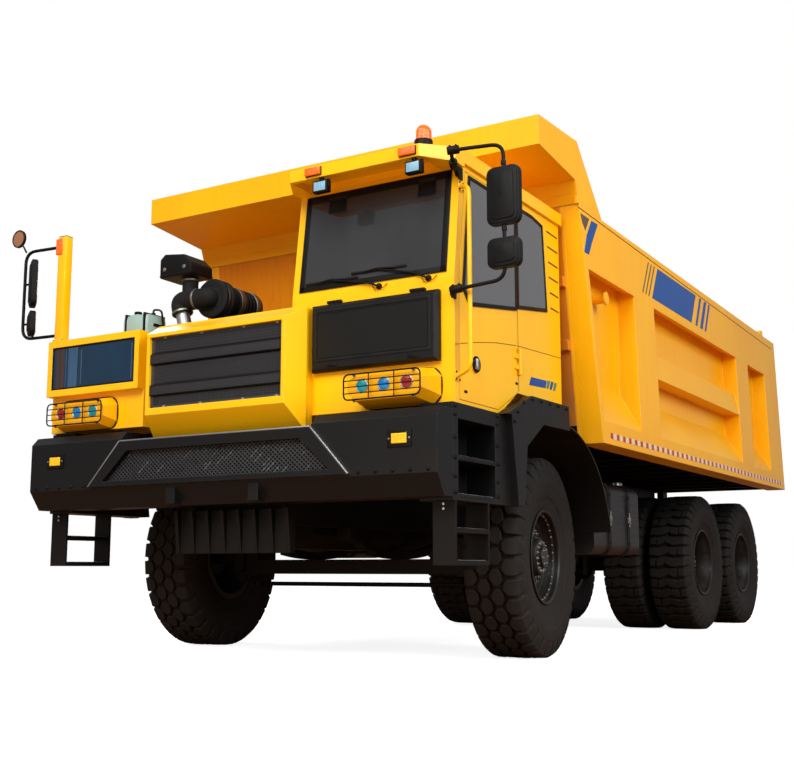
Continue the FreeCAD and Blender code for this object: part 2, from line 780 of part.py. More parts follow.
def front_bumper():
    """Hollow bumper, open at its back, with a raised frame, the mesh opening and lamp holes cut."""
    body = bumper_block(0).cut(bumper_block(bumper_wall))
    body = fuse([body, prism(frame_outline(), "y", nose_y, nose_y + frame_depth + bumper_wall / 2)])
    cut_y = (nose_y - overrun, nose_y + frame_depth + bumper_wall + overrun)
    holes = [prism(mesh_outline(0), "y", *cut_y)]
    holes += both_sides(box(fog_x, cut_y, fog_z))
    behind_steps = (step_front_y - seat_gap, bumper_back_y + overrun)
    notch_x = (step_inner_x - seat_gap, bumper_half_width + overrun)
    holes += both_sides(box(notch_x, behind_steps, (0, bumper_z[3] + overrun)))
    for hole in holes:
        body = body.cut(hole)
    bracket_x = (frame_half_width - rail_width, frame_half_width)
    bracket_z = (bumper_z[0] + bumper_wall / 2, mesh_z[0] - bumper_wall - panel_gap)
    bracket = box(bracket_x, (nose_y + frame_depth + bumper_wall / 2, rail_front_y), bracket_z)
    return [fuse([body] + both_sides(bracket))]


def bumper_mesh():
    """Perforated plate that fills the bumper's opening from behind."""
    y = nose_y + frame_depth + bumper_wall
    return [prism(mesh_outline(bumper_wall), "y", y, y + mesh_plate)]


def fog_lamps():
    """Amber lamps set in the bumper."""
    face = nose_y + frame_depth
    gap = seat_gap
    x, z = (fog_x[0] + gap, fog_x[1] - gap), (fog_z[0] + gap, fog_z[1] - gap)
    lamp = box(x, (face + fog_lens, face + fog_depth), z)
    return both_sides(lamp)


# Steps and ladders
step_inner_x = 1700
step_front_y = -1810
step_foot_z = 1184
step_top_z = 1865
arch_foot_y = -870
arch_top_y = -970
tread_opening_y = (-1735, -1150)
upper_opening_z = (1490, 1755)
lower_opening_z = (1225, 1465)
step_wall = 25
ladder_x = (1790, 1969)
ladder_sides_y = (-1770, -1270)
ladder_side_thickness = 20
ladder_z = (740, 1210)
rung_height = 30


def step_housing():
    """Left step housing with its two openings."""
    foot, top = step_foot_z, step_top_z
    outline = [(step_front_y, foot), (arch_foot_y, foot), (arch_top_y, top), (step_front_y, top)]
    body = prism(outline, "x", step_inner_x, bumper_half_width)
    for z in (upper_opening_z, lower_opening_z):
        body = body.cut(box((step_inner_x + step_wall, bumper_half_width + overrun), tread_opening_y, z))
    return body


def ladder():
    """Left hanging ladder: two side plates and two rungs."""
    pieces = []
    for y in ladder_sides_y:
        half = ladder_side_thickness / 2
        pieces.append(box(ladder_x, (y - half, y + half), ladder_z))
    for z in (ladder_z[0], (ladder_z[0] + step_foot_z) / 2):
        pieces.append(box(ladder_x, ladder_sides_y, (z, z + rung_height)))
    return fuse(pieces).cut(step_housing())


# Front fenders
flare_width = 95
flare_tip_y = -1050
flare_top = ((-600, 2055), (143, 2060), (156, 1856))
flare_under = ((-380, 1850), (-700, 1650), (-770, 1184))
mudguard_radius = 1080
mudguard_thickness = 14
mudguard_inner_x = 1400
mudguard_angles = (12, 83)


def front_fender():
    """Left wheel arch flare with its front leg, and the curved guard behind the tyre."""
    inner, outer = body_half_width + seat_gap, body_half_width + seat_gap + flare_width
    tip = [(arch_top_y + seat_gap, step_top_z + seat_gap), (flare_tip_y, step_top_z + seat_gap)]
    foot = [(arch_foot_y + seat_gap, step_foot_z)]
    flare = prism(tip + list(flare_top) + list(flare_under) + foot, "x", inner, outer)
    first, last = mudguard_angles
    angles = [math.radians(angle) for angle in (first, (first + last) / 2, last)]
    arcs, ends = [], []
    for radius in (mudguard_radius, mudguard_radius + mudguard_thickness):
        spots = []
        for a in angles:
            y, z = radius * math.cos(a), front_axle_z + radius * math.sin(a)
            spots.append(Vector(mudguard_inner_x, y, z))
        arcs.append(Part.Arc(*spots).toShape())
        ends.append(spots)
    caps = [Part.makeLine(ends[0][i], ends[1][i]) for i in (0, 2)]
    wire = Part.Wire(Part.__sortEdges__([arcs[0], caps[1], arcs[1], caps[0]]))
    guard = Part.Face(wire).extrude(Vector(outer - mudguard_inner_x, 0, 0))
    return fuse([flare, guard])


# Platform under the cab and the side cabinet
platform_z = (1700, step_top_z)
platform_beams_y = ((-1480, -1360), (60, 180))
platform_post_width = 90
cab_mounts_x = (950, 1300)
cab_sill_z = 2075


def platform():
    """Two cross beams on posts that stand on the frame rails; the rear one has four cab mounts."""
    front_y, rear_y = platform_beams_y
    pieces = []
    for y, half in ((front_y, step_inner_x - seat_gap), (rear_y, mudguard_inner_x - seat_gap)):
        pieces.append(box((-half, half), y, platform_z))
        post_x = (frame_half_width - platform_post_width, frame_half_width)
        pieces += both_sides(box(post_x, y, (rail_top_z, platform_z[0])))
    for x in cab_mounts_x:
        mount_x = (x - platform_post_width / 2, x + platform_post_width / 2)
        left = box(mount_x, rear_y, (platform_z[1], cab_sill_z - seat_gap))
        pieces += both_sides(left)
    return pieces


# Cab shell
cab_x = (505, body_half_width)
cab_front_y = -1700
cab_rear_y = 220
cab_low_z = platform_z[1] + seat_gap
cab_waist_z = 2790
cab_top_z = 3660
cab_lean = 110
cab_wall = 45
arch_rise_y = (-1000, -660)
screen_x = (600, 1838)
screen_z = (2858, 3590)
glass_thickness = 8
glass_lap = 30
door_y = (-1625, -665)
door_top_z = 3615
door_low_z = 1905
door_window_front = 70
door_window_back = 34
window_low_z = 2640
window_top_z = 3570
window_rise = 122
window_corner = 110
quarter_window_y = (-625, -95)
quarter_window_z = (2780, 3570)
quarter_window_rake = 70
quarter_window_rise = 88
quarter_window_corner = (280, 30)
right_window_y = (-1450, -150)
rear_window_x = (800, 1650)
rear_window_z = (2800, 3500)


def cab_outline(inset):
    """Side outline of the cab, drawn in by an inset."""
    front, rear = cab_front_y + inset, cab_rear_y - inset
    return [
        (front, cab_low_z + inset), (front, cab_waist_z), (front + cab_lean, cab_top_z - inset),
        (rear, cab_top_z - inset), (rear, cab_sill_z + inset), (arch_rise_y[1], cab_sill_z + inset),
        (arch_rise_y[0], cab_low_z + inset),
    ]


def door_outline(inset):
    """Outline of the door in y and z, drawn in by an inset; its foot follows the wheel arch."""
    front, back = door_y[0] + inset, door_y[1] - inset
    knee = arch_rise_y[0]
    return [
        (front, door_low_z + inset), (knee, door_low_z + inset), (back, cab_sill_z + inset),
        (back, door_top_z - inset), (front + cab_lean, door_top_z - inset), (front, cab_waist_z),
    ]


def door_window_outline(grow):
    """Outline of the door window in y and z, let out by an amount."""
    front, back = door_y[0] + door_window_front - grow, door_y[1] - door_window_back + grow
    low, top = window_low_z - grow, window_top_z + grow
    return [
        (front + window_corner, low), (back, low + window_rise), (back, top), (front + cab_lean, top),
        (front, low + window_corner),
    ]


def quarter_window_outline(grow):
    """Outline of the window behind the door in y and z, let out by an amount."""
    front, back = quarter_window_y[0] - grow, quarter_window_y[1] + grow
    low, top = quarter_window_z[0] - grow, quarter_window_z[1] + grow
    corner_run, corner_drop = quarter_window_corner
    return [
        (front, low), (back, low + quarter_window_rise), (back - quarter_window_rake, top - corner_drop),
        (back - corner_run, top), (front, top),
    ]


def cab_shell():
    """Hollow cab with openings for the door, the windscreen and the windows."""
    body = prism(cab_outline(0), "x", *cab_x)
    body = body.cut(prism(cab_outline(cab_wall), "x", cab_x[0] + cab_wall, cab_x[1] - cab_wall))
    wall_left = (cab_x[1] - cab_wall - overrun, cab_x[1] + overrun)
    wall_right = (cab_x[0] - overrun, cab_x[0] + cab_wall + overrun)
    holes = [
        box(screen_x, (cab_front_y - overrun, cab_front_y + cab_lean + cab_wall + overrun), screen_z),
        prism(door_outline(-panel_gap), "x", *wall_left),
        prism(quarter_window_outline(0), "x", *wall_left),
        box(wall_right, right_window_y, quarter_window_z),
        box(rear_window_x, (cab_rear_y - cab_wall - overrun, cab_rear_y + overrun), rear_window_z),
    ]
    for hole in holes:
        body = body.cut(hole)
    leaf, post = door_hinge_fixed()
    return [fuse([body, leaf, post] + flap_hinges())]


def windscreen():
    """Bonded windscreen on the leaning front of the cab."""
    slope = cab_lean / (cab_top_z - cab_waist_z)
    low, top = screen_z[0] - glass_lap, screen_z[1] + glass_lap
    spots = [(cab_front_y + slope * (z - cab_waist_z), z) for z in (low, top)]
    outline = spots + [(spots[1][0] - glass_thickness, top), (spots[0][0] - glass_thickness, low)]
    return [prism(outline, "x", screen_x[0] - glass_lap, screen_x[1] + glass_lap)]


def cab_windows():
    """Bonded side and rear glass of the cab."""
    quarter = prism(quarter_window_outline(glass_lap), "x", cab_x[1], cab_x[1] + glass_thickness)
    grow_y = (right_window_y[0] - glass_lap, right_window_y[1] + glass_lap)
    grow_z = (quarter_window_z[0] - glass_lap, quarter_window_z[1] + glass_lap)
    right = box((cab_x[0] - glass_thickness, cab_x[0]), grow_y, grow_z)
    rear_x = (rear_window_x[0] - glass_lap, rear_window_x[1] + glass_lap)
    rear_z = (rear_window_z[0] - glass_lap, rear_window_z[1] + glass_lap)
    rear = box(rear_x, (cab_rear_y, cab_rear_y + glass_thickness), rear_z)
    return [quarter, right, rear]


# Cab door, its hinge and its handle
hinge_stand = 22
hinge_set = 14
hinge_x = cab_x[1] + hinge_stand
hinge_y = door_y[1] + hinge_set
hinge_z = (2220, 2430)
hinge_radius = 14
hinge_pin_radius = 7
hinge_leaf = 5
hinge_leaf_length = 50
hinge_knuckles = 5
handle_y = -1390
handle_z = 2190
handle_radius = 62
handle_depth = 10


def hinge_bands():
    """Heights of the hinge's knuckles, even ones on the body and odd ones on the door."""
    low, high = hinge_z
    step = (high - low) / hinge_knuckles
    return [(low + i * step, low + (i + 1) * step) for i in range(hinge_knuckles)]


def door_hinge_fixed():
    """Body side of the hinge: a leaf with its knuckles and the pin."""
    bands = hinge_bands()
    axis = (hinge_x, hinge_y)
    knuckles_up = [rod((*axis, low), (*axis, high), hinge_radius) for low, high in bands[::2]]
    pin = rod((*axis, hinge_z[0]), (*axis, hinge_z[1]), hinge_pin_radius)
    arms = []
    for low, high in bands[::2]:
        arms.append(box((cab_x[1], hinge_x), (hinge_y, hinge_y + hinge_radius), (low, high)))
    leaf = box((cab_x[1], cab_x[1] + hinge_leaf), (hinge_y, hinge_y + hinge_leaf_length), hinge_z)
    return leaf, fuse(knuckles_up + [pin] + arms)


def door_hinge_moving():
    """Door side of the hinge: knuckles with running gaps, and leaves that clear the pillar."""
    pieces = []
    face = cab_x[1]
    leaf_y = (hinge_y - hinge_radius - hinge_leaf_length, hinge_y)
    for low, high in hinge_bands()[1::2]:
        band = (low + seat_gap, high - seat_gap)
        knuckle_shape = rod((hinge_x, hinge_y, band[0]), (hinge_x, hinge_y, band[1]), hinge_radius)
        arm = box((face, face + 2 * panel_gap), leaf_y, band)
        arm = fuse([arm, box((face, hinge_x), (hinge_y - hinge_radius, hinge_y), band)])
        arm = arm.cut(box((face - overrun, face + panel_gap), (door_y[1], hinge_y + overrun), band))
        foot, head = (hinge_x, hinge_y, band[0] - overrun), (hinge_x, hinge_y, band[1] + overrun)
        hole = rod(foot, head, hinge_pin_radius + seat_gap)
        pieces.append(fuse([knuckle_shape, arm]).cut(hole))
    return pieces


def door():
    """Door panel with its window opening and the knuckles of its hinge."""
    inner = cab_x[1] - cab_wall
    panel = prism(door_outline(0), "x", inner, cab_x[1])
    panel = panel.cut(prism(door_window_outline(0), "x", inner - overrun, cab_x[1] + overrun))
    spot = (handle_y, handle_z)
    cup = rod((cab_x[1] - overrun, *spot), (cab_x[1] + handle_depth, *spot), handle_radius)
    return [fuse([panel, cup] + door_hinge_moving())]


def door_glass():
    """Bonded glass of the door."""
    return [prism(door_window_outline(glass_lap), "x", cab_x[1], cab_x[1] + glass_thickness)]


# Cab roof with its visor
roof_overhang = 25
roof_z = (3660, 3765)
roof_rear_y = 240
visor_front_y = -1950
visor_drop = 30
visor_lip = 92
visor_rise = 122
visor_wall = 45
visor_hollow = (20, 80)
visor_flank = 120
visor_corner_x = 145


def cab_roof():
    """Roof cap over the cab, with a visor that juts out over the windscreen."""
    x = (cab_x[0] - roof_overhang, cab_x[1] + roof_overhang)
    cap_front = cab_front_y + cab_lean
    cap = box(x, (cap_front, roof_rear_y), roof_z)
    low, top = roof_z[0] - visor_drop, roof_z[1]
    flank_y = cap_front - visor_flank
    plan = [
        (cab_x[0], cap_front + overrun), (cab_x[0], flank_y),
        (cab_x[0] + visor_corner_x, visor_front_y), (cab_x[1] - visor_corner_x, visor_front_y),
        (x[1], flank_y), (x[1], cap_front + overrun),
    ]
    block = prism(plan, "z", low, top)
    slope = [
        (visor_front_y - overrun, low + visor_lip), (visor_front_y, low + visor_lip),
        (cap_front, low + visor_rise), (cap_front, top + overrun), (visor_front_y - overrun, top + overrun),
    ]
    block = block.cut(prism(slope, "x", x[0] - overrun, x[1] + overrun))
    inner_y = visor_front_y + visor_wall
    hollow = [
        (inner_y, low - overrun), (cap_front, low - overrun),
        (cap_front, low + visor_hollow[1]), (inner_y, low + visor_hollow[0]),
    ]
    block = block.cut(prism(hollow, "x", cab_x[0] + visor_corner_x, cab_x[1] - visor_corner_x))
    block = block.cut(prism(cab_outline(0), "x", *cab_x))
    return [fuse([cap, block])]


# Service flap below the windscreen
flap_x = (727, 1823)
flap_z = (2180, 2695)
flap_thickness = 68
flap_bevel = 24
flap_hinge_z = 2712
flap_hinge_stand = 22
flap_hinge_y = cab_front_y - flap_hinge_stand
flap_hinge_radius = 10
flap_pin_radius = 5
flap_hinge_width = 90
flap_lug_width = 30
flap_hinge_places = (915, 1640)


def service_flap():
    """Bevelled flap with a hinge eye at two places on its top edge."""
    back = cab_front_y - panel_gap
    front = cab_front_y - flap_thickness
    x, z = flap_x, flap_z
    plate = box(x, (front + flap_bevel, back), z)
    d = flap_bevel
    rings = []
    for y, inset in ((front + d, 0), (front, d)):
        left, right, low, high = x[0] + inset, x[1] - inset, z[0] + inset, z[1] - inset
        spots = [Vector(a, y, b) for a, b in ((left, low), (right, low), (right, high), (left, high))]
        rings.append(Part.makePolygon(spots + spots[:1]))
    pieces = [plate, Part.makeLoft(rings, True, True)]
    holes = []
    half = flap_lug_width / 2 - seat_gap
    web_y = (flap_hinge_y - flap_hinge_radius, flap_hinge_y + flap_hinge_radius)
    for place in flap_hinge_places:
        pieces.append(hinge_rod(place - half, place + half, flap_hinge_radius))
        pieces.append(box((place - half, place + half), web_y, (z[1] - d, flap_hinge_z)))
        reach = flap_hinge_width
        holes.append(hinge_rod(place - reach, place + reach, flap_pin_radius + seat_gap))
    return [fuse(pieces).cut(fuse_all(holes))]


def hinge_rod(low_x, high_x, radius):
    """Round bar on the line of the flap's hinges."""
    return rod((low_x, flap_hinge_y, flap_hinge_z), (high_x, flap_hinge_y, flap_hinge_z), radius)


def flap_hinges():
    """Fixed eyes and pins of the flap's hinges, on the cab's front."""
    solids = []
    half, lug = flap_hinge_width / 2, flap_lug_width / 2
    foot_z = (flap_hinge_z - flap_hinge_radius, flap_hinge_z + flap_hinge_radius)
    for place in flap_hinge_places:
        pieces = [hinge_rod(place - half, place + half, flap_pin_radius)]
        for low, high in ((place - half, place - lug), (place + lug, place + half)):
            pieces.append(hinge_rod(low, high, flap_hinge_radius))
            pieces.append(box((low, high), (flap_hinge_y, cab_front_y), foot_z))
        solids.append(fuse(pieces))
    return solids


# Things seen through the cab's glass
floor_z = cab_sill_z + cab_wall
seat_x = (1040, 1560)
seat_y = (-720, -200)
seat_cushion_z = (2330, 2470)
seat_base_x = (1140, 1460)
seat_back_z = 3150
seat_back_thickness = 130
seat_back_rake = 110
seat_head_depth = 43
dash_y = (-1655, -1300)
dash_z = (2300, 2790)
dash_lip = 160
column_foot = (1300, -1330, 2560)
column_head = (1300, -1040, 2790)
column_radius = 28
hub_radius = 50
wheel_radius = 220
wheel_rim_radius = 17
wheel_hub_depth = 26
wheel_spokes = 3
spoke_turn_share = 0.25


def seat():
    """Driver's seat: base, cushion and leaning back."""
    base = box(seat_base_x, (seat_y[0] + sheet, seat_y[1] - sheet), (floor_z, seat_cushion_z[0]))
    cushion = box(seat_x, seat_y, seat_cushion_z)
    low, back = seat_cushion_z[0], seat_y[1]
    half, head_y = seat_back_thickness / 2, back + seat_back_rake
    outline = [
        (back - half, low), (back + half, low),
        (head_y + half, seat_back_z), (head_y - seat_head_depth, seat_back_z),
    ]
    return [fuse([base, cushion, prism(outline, "x", *seat_x)])]


def dashboard():
    """Dashboard along the cab's front with the steering column's tube."""
    low, top = dash_z
    front, back = dash_y
    foot_z, lip_y = cab_low_z + cab_wall, back - dash_lip
    outline = [
        (front, foot_z), (front, top), (lip_y, top), (back, top - dash_lip), (back, low), (lip_y, foot_z),
    ]
    body = prism(outline, "x", cab_x[0] + cab_wall, cab_x[1] - 2 * cab_wall)
    column = rod(column_foot, column_head, column_radius)
    foot, up = Vector(*column_foot), column_direction()
    stem_end = Vector(*column_head) + up * (seat_gap + wheel_hub_depth / 2)
    stem = Part.makeCylinder(column_radius / 2, (stem_end - foot).Length, foot, up)
    return [fuse([body, column, stem])]


def column_direction():
    """Unit vector up the steering column."""
    return (Vector(*column_head) - Vector(*column_foot)).normalize()


def wheel_rim(middle, side, up):
    """Grip of the steering wheel: a round of flat sided section swept about its hub."""
    spots = []
    for index in range(slim_sides):
        angle = 2 * math.pi * index / slim_sides
        out = wheel_radius - wheel_rim_radius + wheel_rim_radius * math.cos(angle)
        spots.append(middle + side * out + up * (wheel_rim_radius * math.sin(angle)))
    return Part.Face(Part.makePolygon(spots + spots[:1])).revolve(middle, up, 360)


def steering_wheel():
    """Steering wheel with its hub and three spokes, on the column's end."""
    up = column_direction()
    seat_point = Vector(*column_head) + up * seat_gap
    hub = Part.makeCylinder(hub_radius, wheel_hub_depth, seat_point, up)
    socket_depth = wheel_hub_depth / 2 + 2 * seat_gap
    socket = Part.makeCylinder(column_radius / 2 + seat_gap, socket_depth, seat_point - up * seat_gap, up)
    middle = seat_point + up * (wheel_hub_depth / 2)
    side = Vector(1, 0, 0)
    rim = wheel_rim(middle, side, up)
    pieces = [hub, rim]
    for index in range(wheel_spokes):
        spoke = Part.makeCylinder(wheel_rim_radius / 2, wheel_radius - wheel_rim_radius, middle, side)
        spoke.rotate(middle, up, (index + spoke_turn_share) * 360 / wheel_spokes)
        pieces.append(spoke)
    return [fuse(pieces).cut(socket)]


# Front cowl with its grille
cowl_front_y = -2000
cowl_shoulder_y = -1800
cowl_back_y = -1700
cowl_centre_x = -32
cowl_face_half = 690
cowl_face_z = (1930, 2590)
cowl_half = 752
cowl_back_half = 735
cowl_z = (bumper_middle_top_z + seat_gap, 2692)
cowl_wall = 30
grille_half = 660
grille_z = (1985, 2560)
grille_recess = 34
grille_plate = 10
grille_band_height = 112
grille_band_depth = 26
grille_band_under = 7
grille_band_shares = (0.26, 0.70)


def cowl_block(inset):
    """Cowl volume with its bevelled front, drawn in by an inset; narrower behind its shoulder."""
    def ring(half, z, y):
        left, right = cowl_centre_x - half, cowl_centre_x + half
        spots = [Vector(a, y, b) for a, b in ((left, z[0]), (right, z[0]), (right, z[1]), (left, z[1]))]
        return Part.makePolygon(spots + spots[:1])
    face = (cowl_face_z[0] + inset, cowl_face_z[1] - inset)
    body = (cowl_z[0] + inset, cowl_z[1] - inset)
    shoulder_y = cowl_shoulder_y + inset / 2
    face_ring = ring(cowl_face_half - inset, face, cowl_front_y + inset)
    front = Part.makeLoft([face_ring, ring(cowl_half - inset, body, shoulder_y)], True, True)
    back_y = cowl_back_y + (overrun if inset else 0)
    half = cowl_back_half - inset
    rear = box((cowl_centre_x - half, cowl_centre_x + half), (shoulder_y - overrun, back_y), body)
    return front.fuse(rear)


def hood_cowl():
    """Hollow cowl, open behind, with the grille opening cut."""
    body = cowl_block(0).cut(cowl_block(cowl_wall))
    opening_x = (cowl_centre_x - grille_half, cowl_centre_x + grille_half)
    return [body.cut(box(opening_x, (cowl_front_y - overrun, cowl_shoulder_y + overrun), grille_z))]


def grille():
    """Perforated plate set back in the cowl, with two raised bands."""
    gap = seat_gap
    x = (cowl_centre_x - grille_half + gap, cowl_centre_x + grille_half - gap)
    y = cowl_front_y + grille_recess
    low, high = grille_z[0] + gap, grille_z[1] - gap
    pieces = [box(x, (y, y + grille_plate), (low, high))]
    half, back = grille_band_height / 2, y + grille_plate / 2
    for share in grille_band_shares:
        middle = low + share * (high - low)
        face_top, face_low = middle + half - grille_band_depth, middle - half + grille_band_under
        outline = [
            (back, middle - half), (back, middle + half),
            (y - grille_band_depth, face_top), (y - grille_band_depth, face_low),
        ]
        pieces.append(prism(outline, "x", *x))
    return [fuse(pieces)]


# Side cabinet on the truck's right, and the deck over the engine
cabinet_x = (-body_half_width, -870)
cabinet_front_y = -1940
cabinet_step_y = -1865
cabinet_step_z = 2175
cabinet_rear_y = 180
cabinet_z = (cab_low_z, 2660)
cabinet_window_x = (-1880, -918)
cabinet_window_z = (2232, 2602)
cabinet_glass_recess = 12
deck_z = (2560, 2595)
deck_x = (-870, 505)


def cabinet_outline(inset):
    """Side outline of the cabinet, drawn in by an inset; its head juts forward over its foot."""
    low, top = cabinet_z
    foot_y, front, rear = cabinet_step_y + inset, cabinet_front_y + inset, cabinet_rear_y - inset
    step, sill = cabinet_step_z + inset, cab_sill_z + inset
    return [
        (foot_y, low + inset), (foot_y, step), (front, step), (front, top - inset),
        (rear, top - inset), (rear, sill), (arch_rise_y[1], sill), (arch_rise_y[0], low + inset),
    ]


def side_cabinet():
    """Hollow cabinet with its front window opening."""
    body = prism(cabinet_outline(0), "x", *cabinet_x)
    body = body.cut(prism(cabinet_outline(sheet), "x", cabinet_x[0] + sheet, cabinet_x[1] - sheet))
    through_y = (cabinet_front_y - overrun, cabinet_front_y + sheet + overrun)
    return [body.cut(box(cabinet_window_x, through_y, cabinet_window_z))]


def cabinet_glass():
    """Dark pane set in the cabinet's window opening."""
    gap = seat_gap
    y = cabinet_front_y + cabinet_glass_recess
    x = (cabinet_window_x[0] + gap, cabinet_window_x[1] - gap)
    return [box(x, (y, y + glass_thickness), (cabinet_window_z[0] + gap, cabinet_window_z[1] - gap))]


def engine_deck():
    """Deck between the cab and the cabinet, with an apron that stands on the rear beam."""
    y = (cowl_back_y, platform_beams_y[1][1])
    plate = box(deck_x, y, deck_z)
    apron = box(deck_x, (y[1] - sheet, y[1]), (platform_z[1], deck_z[1]))
    return [fuse([plate, apron])]


# Lamps
pod_x = (1185, 1792)
pod_z = (1905, 2100)
pod_flare = 35
left_pod_face_y = -1940
right_pod_face_y = -2000
pod_corner = 60
lamp_places = (1306, 1489, 1675)
lamp_z = 2008
lamp_radius = 52
lamp_depth = 14
guard_wire = 6
guard_reach = 36
guard_uprights = 4
guard_x_span = (1172, 1805)
guard_bars_z = (1908, 2000, 2092)
guard_foot_inset = 70


def pod_ring(y, grow, sign):
    """Outline of a lamp pod with cut corners, at a depth and let out by an amount."""
    left, right = pod_x[0] - grow, pod_x[1] + grow
    low, high = pod_z[0] - grow, pod_z[1] + grow
    c = pod_corner
    spots = [
        (left + c, low), (right - c, low), (right, low + c), (right, high - c),
        (right - c, high), (left + c, high), (left, high - c), (left, low + c),
    ]
    spots = [Vector(sign * x, y, z) for x, z in spots]
    return Part.makePolygon(spots + spots[:1])


def lamp_pod(front, back_y, sign):
    """Lamp pod that widens towards its panel, with shallow wells for its lamps."""
    body = Part.makeLoft([pod_ring(front, 0, sign), pod_ring(back_y, pod_flare, sign)], True, True)
    for place in lamp_places:
        well = ((sign * place, front - overrun, lamp_z), (sign * place, front + lamp_depth, lamp_z))
        body = body.cut(rod(*well, lamp_radius + seat_gap))
    return body


def headlamps():
    """Pods, lenses and wire guards of both headlamp groups."""
    pods, lenses, guards = [], [], []
    for front, back_y, sign in ((left_pod_face_y, cab_front_y, 1), (right_pod_face_y, cabinet_step_y, -1)):
        pods.append(lamp_pod(front, back_y, sign))
        for place in lamp_places:
            start = (sign * place, front - lamp_depth / 2, lamp_z)
            lenses.append(rod(start, (sign * place, front + lamp_depth - seat_gap, lamp_z), lamp_radius))
        guards.append(lamp_guard(front, sign))
    return {"lamp_pods": pods, "lamps": lenses + work_lamps(), "lamp_guards": guards}


def lamp_guard(front, sign):
    """Wire guard in front of one pod, with four feet on its face."""
    y = front - guard_reach
    low_x, high_x = guard_x_span
    wires = []
    for z in guard_bars_z:
        wires.append(slim_bar((sign * low_x, y, z), (sign * high_x, y, z), guard_wire))
    step = (high_x - low_x) / (guard_uprights - 1)
    for index in range(guard_uprights):
        x = sign * (low_x + index * step)
        wires.append(slim_bar((x, y, guard_bars_z[0]), (x, y, guard_bars_z[-1]), guard_wire))
    for x in (low_x + guard_foot_inset, high_x - guard_foot_inset):
        for z in (guard_bars_z[0], guard_bars_z[-1]):
            wires.append(slim_bar((sign * x, y, z), (sign * x, front, z), guard_wire))
    return fuse(wires)


work_lamp_places = (930, 1737)
work_lamp_size = (130, 60, 90)
work_lamp_stalk = (30, 30)
marker_places = (871, 1693)
marker_size = (147, 30, 70)
marker_lift = 12
beacon_spot = (1767, -1850)
beacon_radius = 62
beacon_foot_radius = 69
beacon_base_z = 3772
beacon_height = 123


def work_lamps():
    """Work lamps on short stalks under the visor."""
    width, depth, height = work_lamp_size
    stalk_width, stalk_height = work_lamp_stalk
    under = roof_z[0] - visor_drop
    top = under - stalk_height
    y = visor_front_y + visor_wall / 2
    lamps = []
    for place in work_lamp_places:
        body_x = (place - width / 2, place + width / 2)
        body = box(body_x, (y - depth / 2, y + depth / 2), (top - height, top))
        stalk_x = (place - stalk_width / 2, place + stalk_width / 2)
        stalk = box(stalk_x, (y - stalk_width / 2, y + stalk_width / 2), (top - overrun, under))
        lamps.append(fuse([body, stalk]))
    return lamps


def roof_markers():
    """Amber markers on the visor's front face."""
    width, depth, height = marker_size
    low = roof_z[0] - visor_drop + marker_lift
    y = (visor_front_y - depth, visor_front_y)
    return [box((place - width / 2, place + width / 2), y, (low, low + height)) for place in marker_places]


def beacon():
    """Amber beacon on the visor's top."""
    foot = rod((*beacon_spot, roof_z[0]), (*beacon_spot, beacon_base_z), beacon_foot_radius)
    dome = rod((*beacon_spot, beacon_base_z), (*beacon_spot, beacon_base_z + beacon_height), beacon_radius)
    return [fuse([foot, dome]).cut(cab_roof()[0])]


# Mirrors and grab rail
mirror_reach = 2470
mirror_arm_radius = 14
mirror_size = (250, 70, 420)
mirror_small_height = 215
left_mirror_y = -1730
left_mirror_top_z = 3510
left_mirror_gap = 95
left_arm_top_z = 3680
left_arm_low_z = 2700
left_arm_knee = (1960, -1755, 2668)
left_arm_elbow = (2010, -1900, 3640)
post_x = (-1880, -1785)
post_y = (-1930, -1850)
post_top_z = 3605
right_mirror_y = -1930
right_mirror_x = -2215
right_mirror_top_z = 3430
right_arm_x = -2285
right_arm_z = (2725, 3520)
right_mirror_turn = 62
spot_mirror_radius = 82
spot_mirror_z = 3660
grab_rail_x = 2050
grab_rail_z = (2060, 3440)
grab_rail_y = -1690
grab_rail_radius = 17
grab_rail_foot = 25


def mirror_head(x, y, top, height, turn):
    """One mirror head, turned towards the driver."""
    width, depth, _ = mirror_size
    head = box((x - width / 2, x + width / 2), (y - depth / 2, y + depth / 2), (top - height, top))
    return turned(head, (x, y, 0), (0, 0, 1), turn)


def mirrors_left():
    """Arm loop and two mirror heads on the cab's left front corner."""
    x = mirror_reach - mirror_size[0] / 2
    y = left_mirror_y
    mount = (cab_x[1] - cab_wall / 2, cab_front_y + cab_lean + cab_wall / 2)
    low = (x, y, left_arm_low_z)
    arm = slim_tube([
        (*mount, left_arm_elbow[2] - 2 * mirror_arm_radius - cab_wall), left_arm_elbow,
        (x, y, left_arm_top_z), low,
        left_arm_knee, (cab_x[1] - cab_wall / 2, cab_front_y, left_arm_knee[2] - mirror_arm_radius),
    ], mirror_arm_radius)
    top = left_mirror_top_z
    heads = [mirror_head(x, y, top, mirror_size[2], 0)]
    second = top - mirror_size[2] - left_mirror_gap
    heads.append(mirror_head(x, y, second, mirror_small_height, 0))
    arm = arm.cut(cab_shell()[0])
    return [fuse([arm] + heads)]


def mirror_post():
    """Square post at the cabinet's front corner."""
    return [box(post_x, post_y, (cabinet_z[1], post_top_z))]


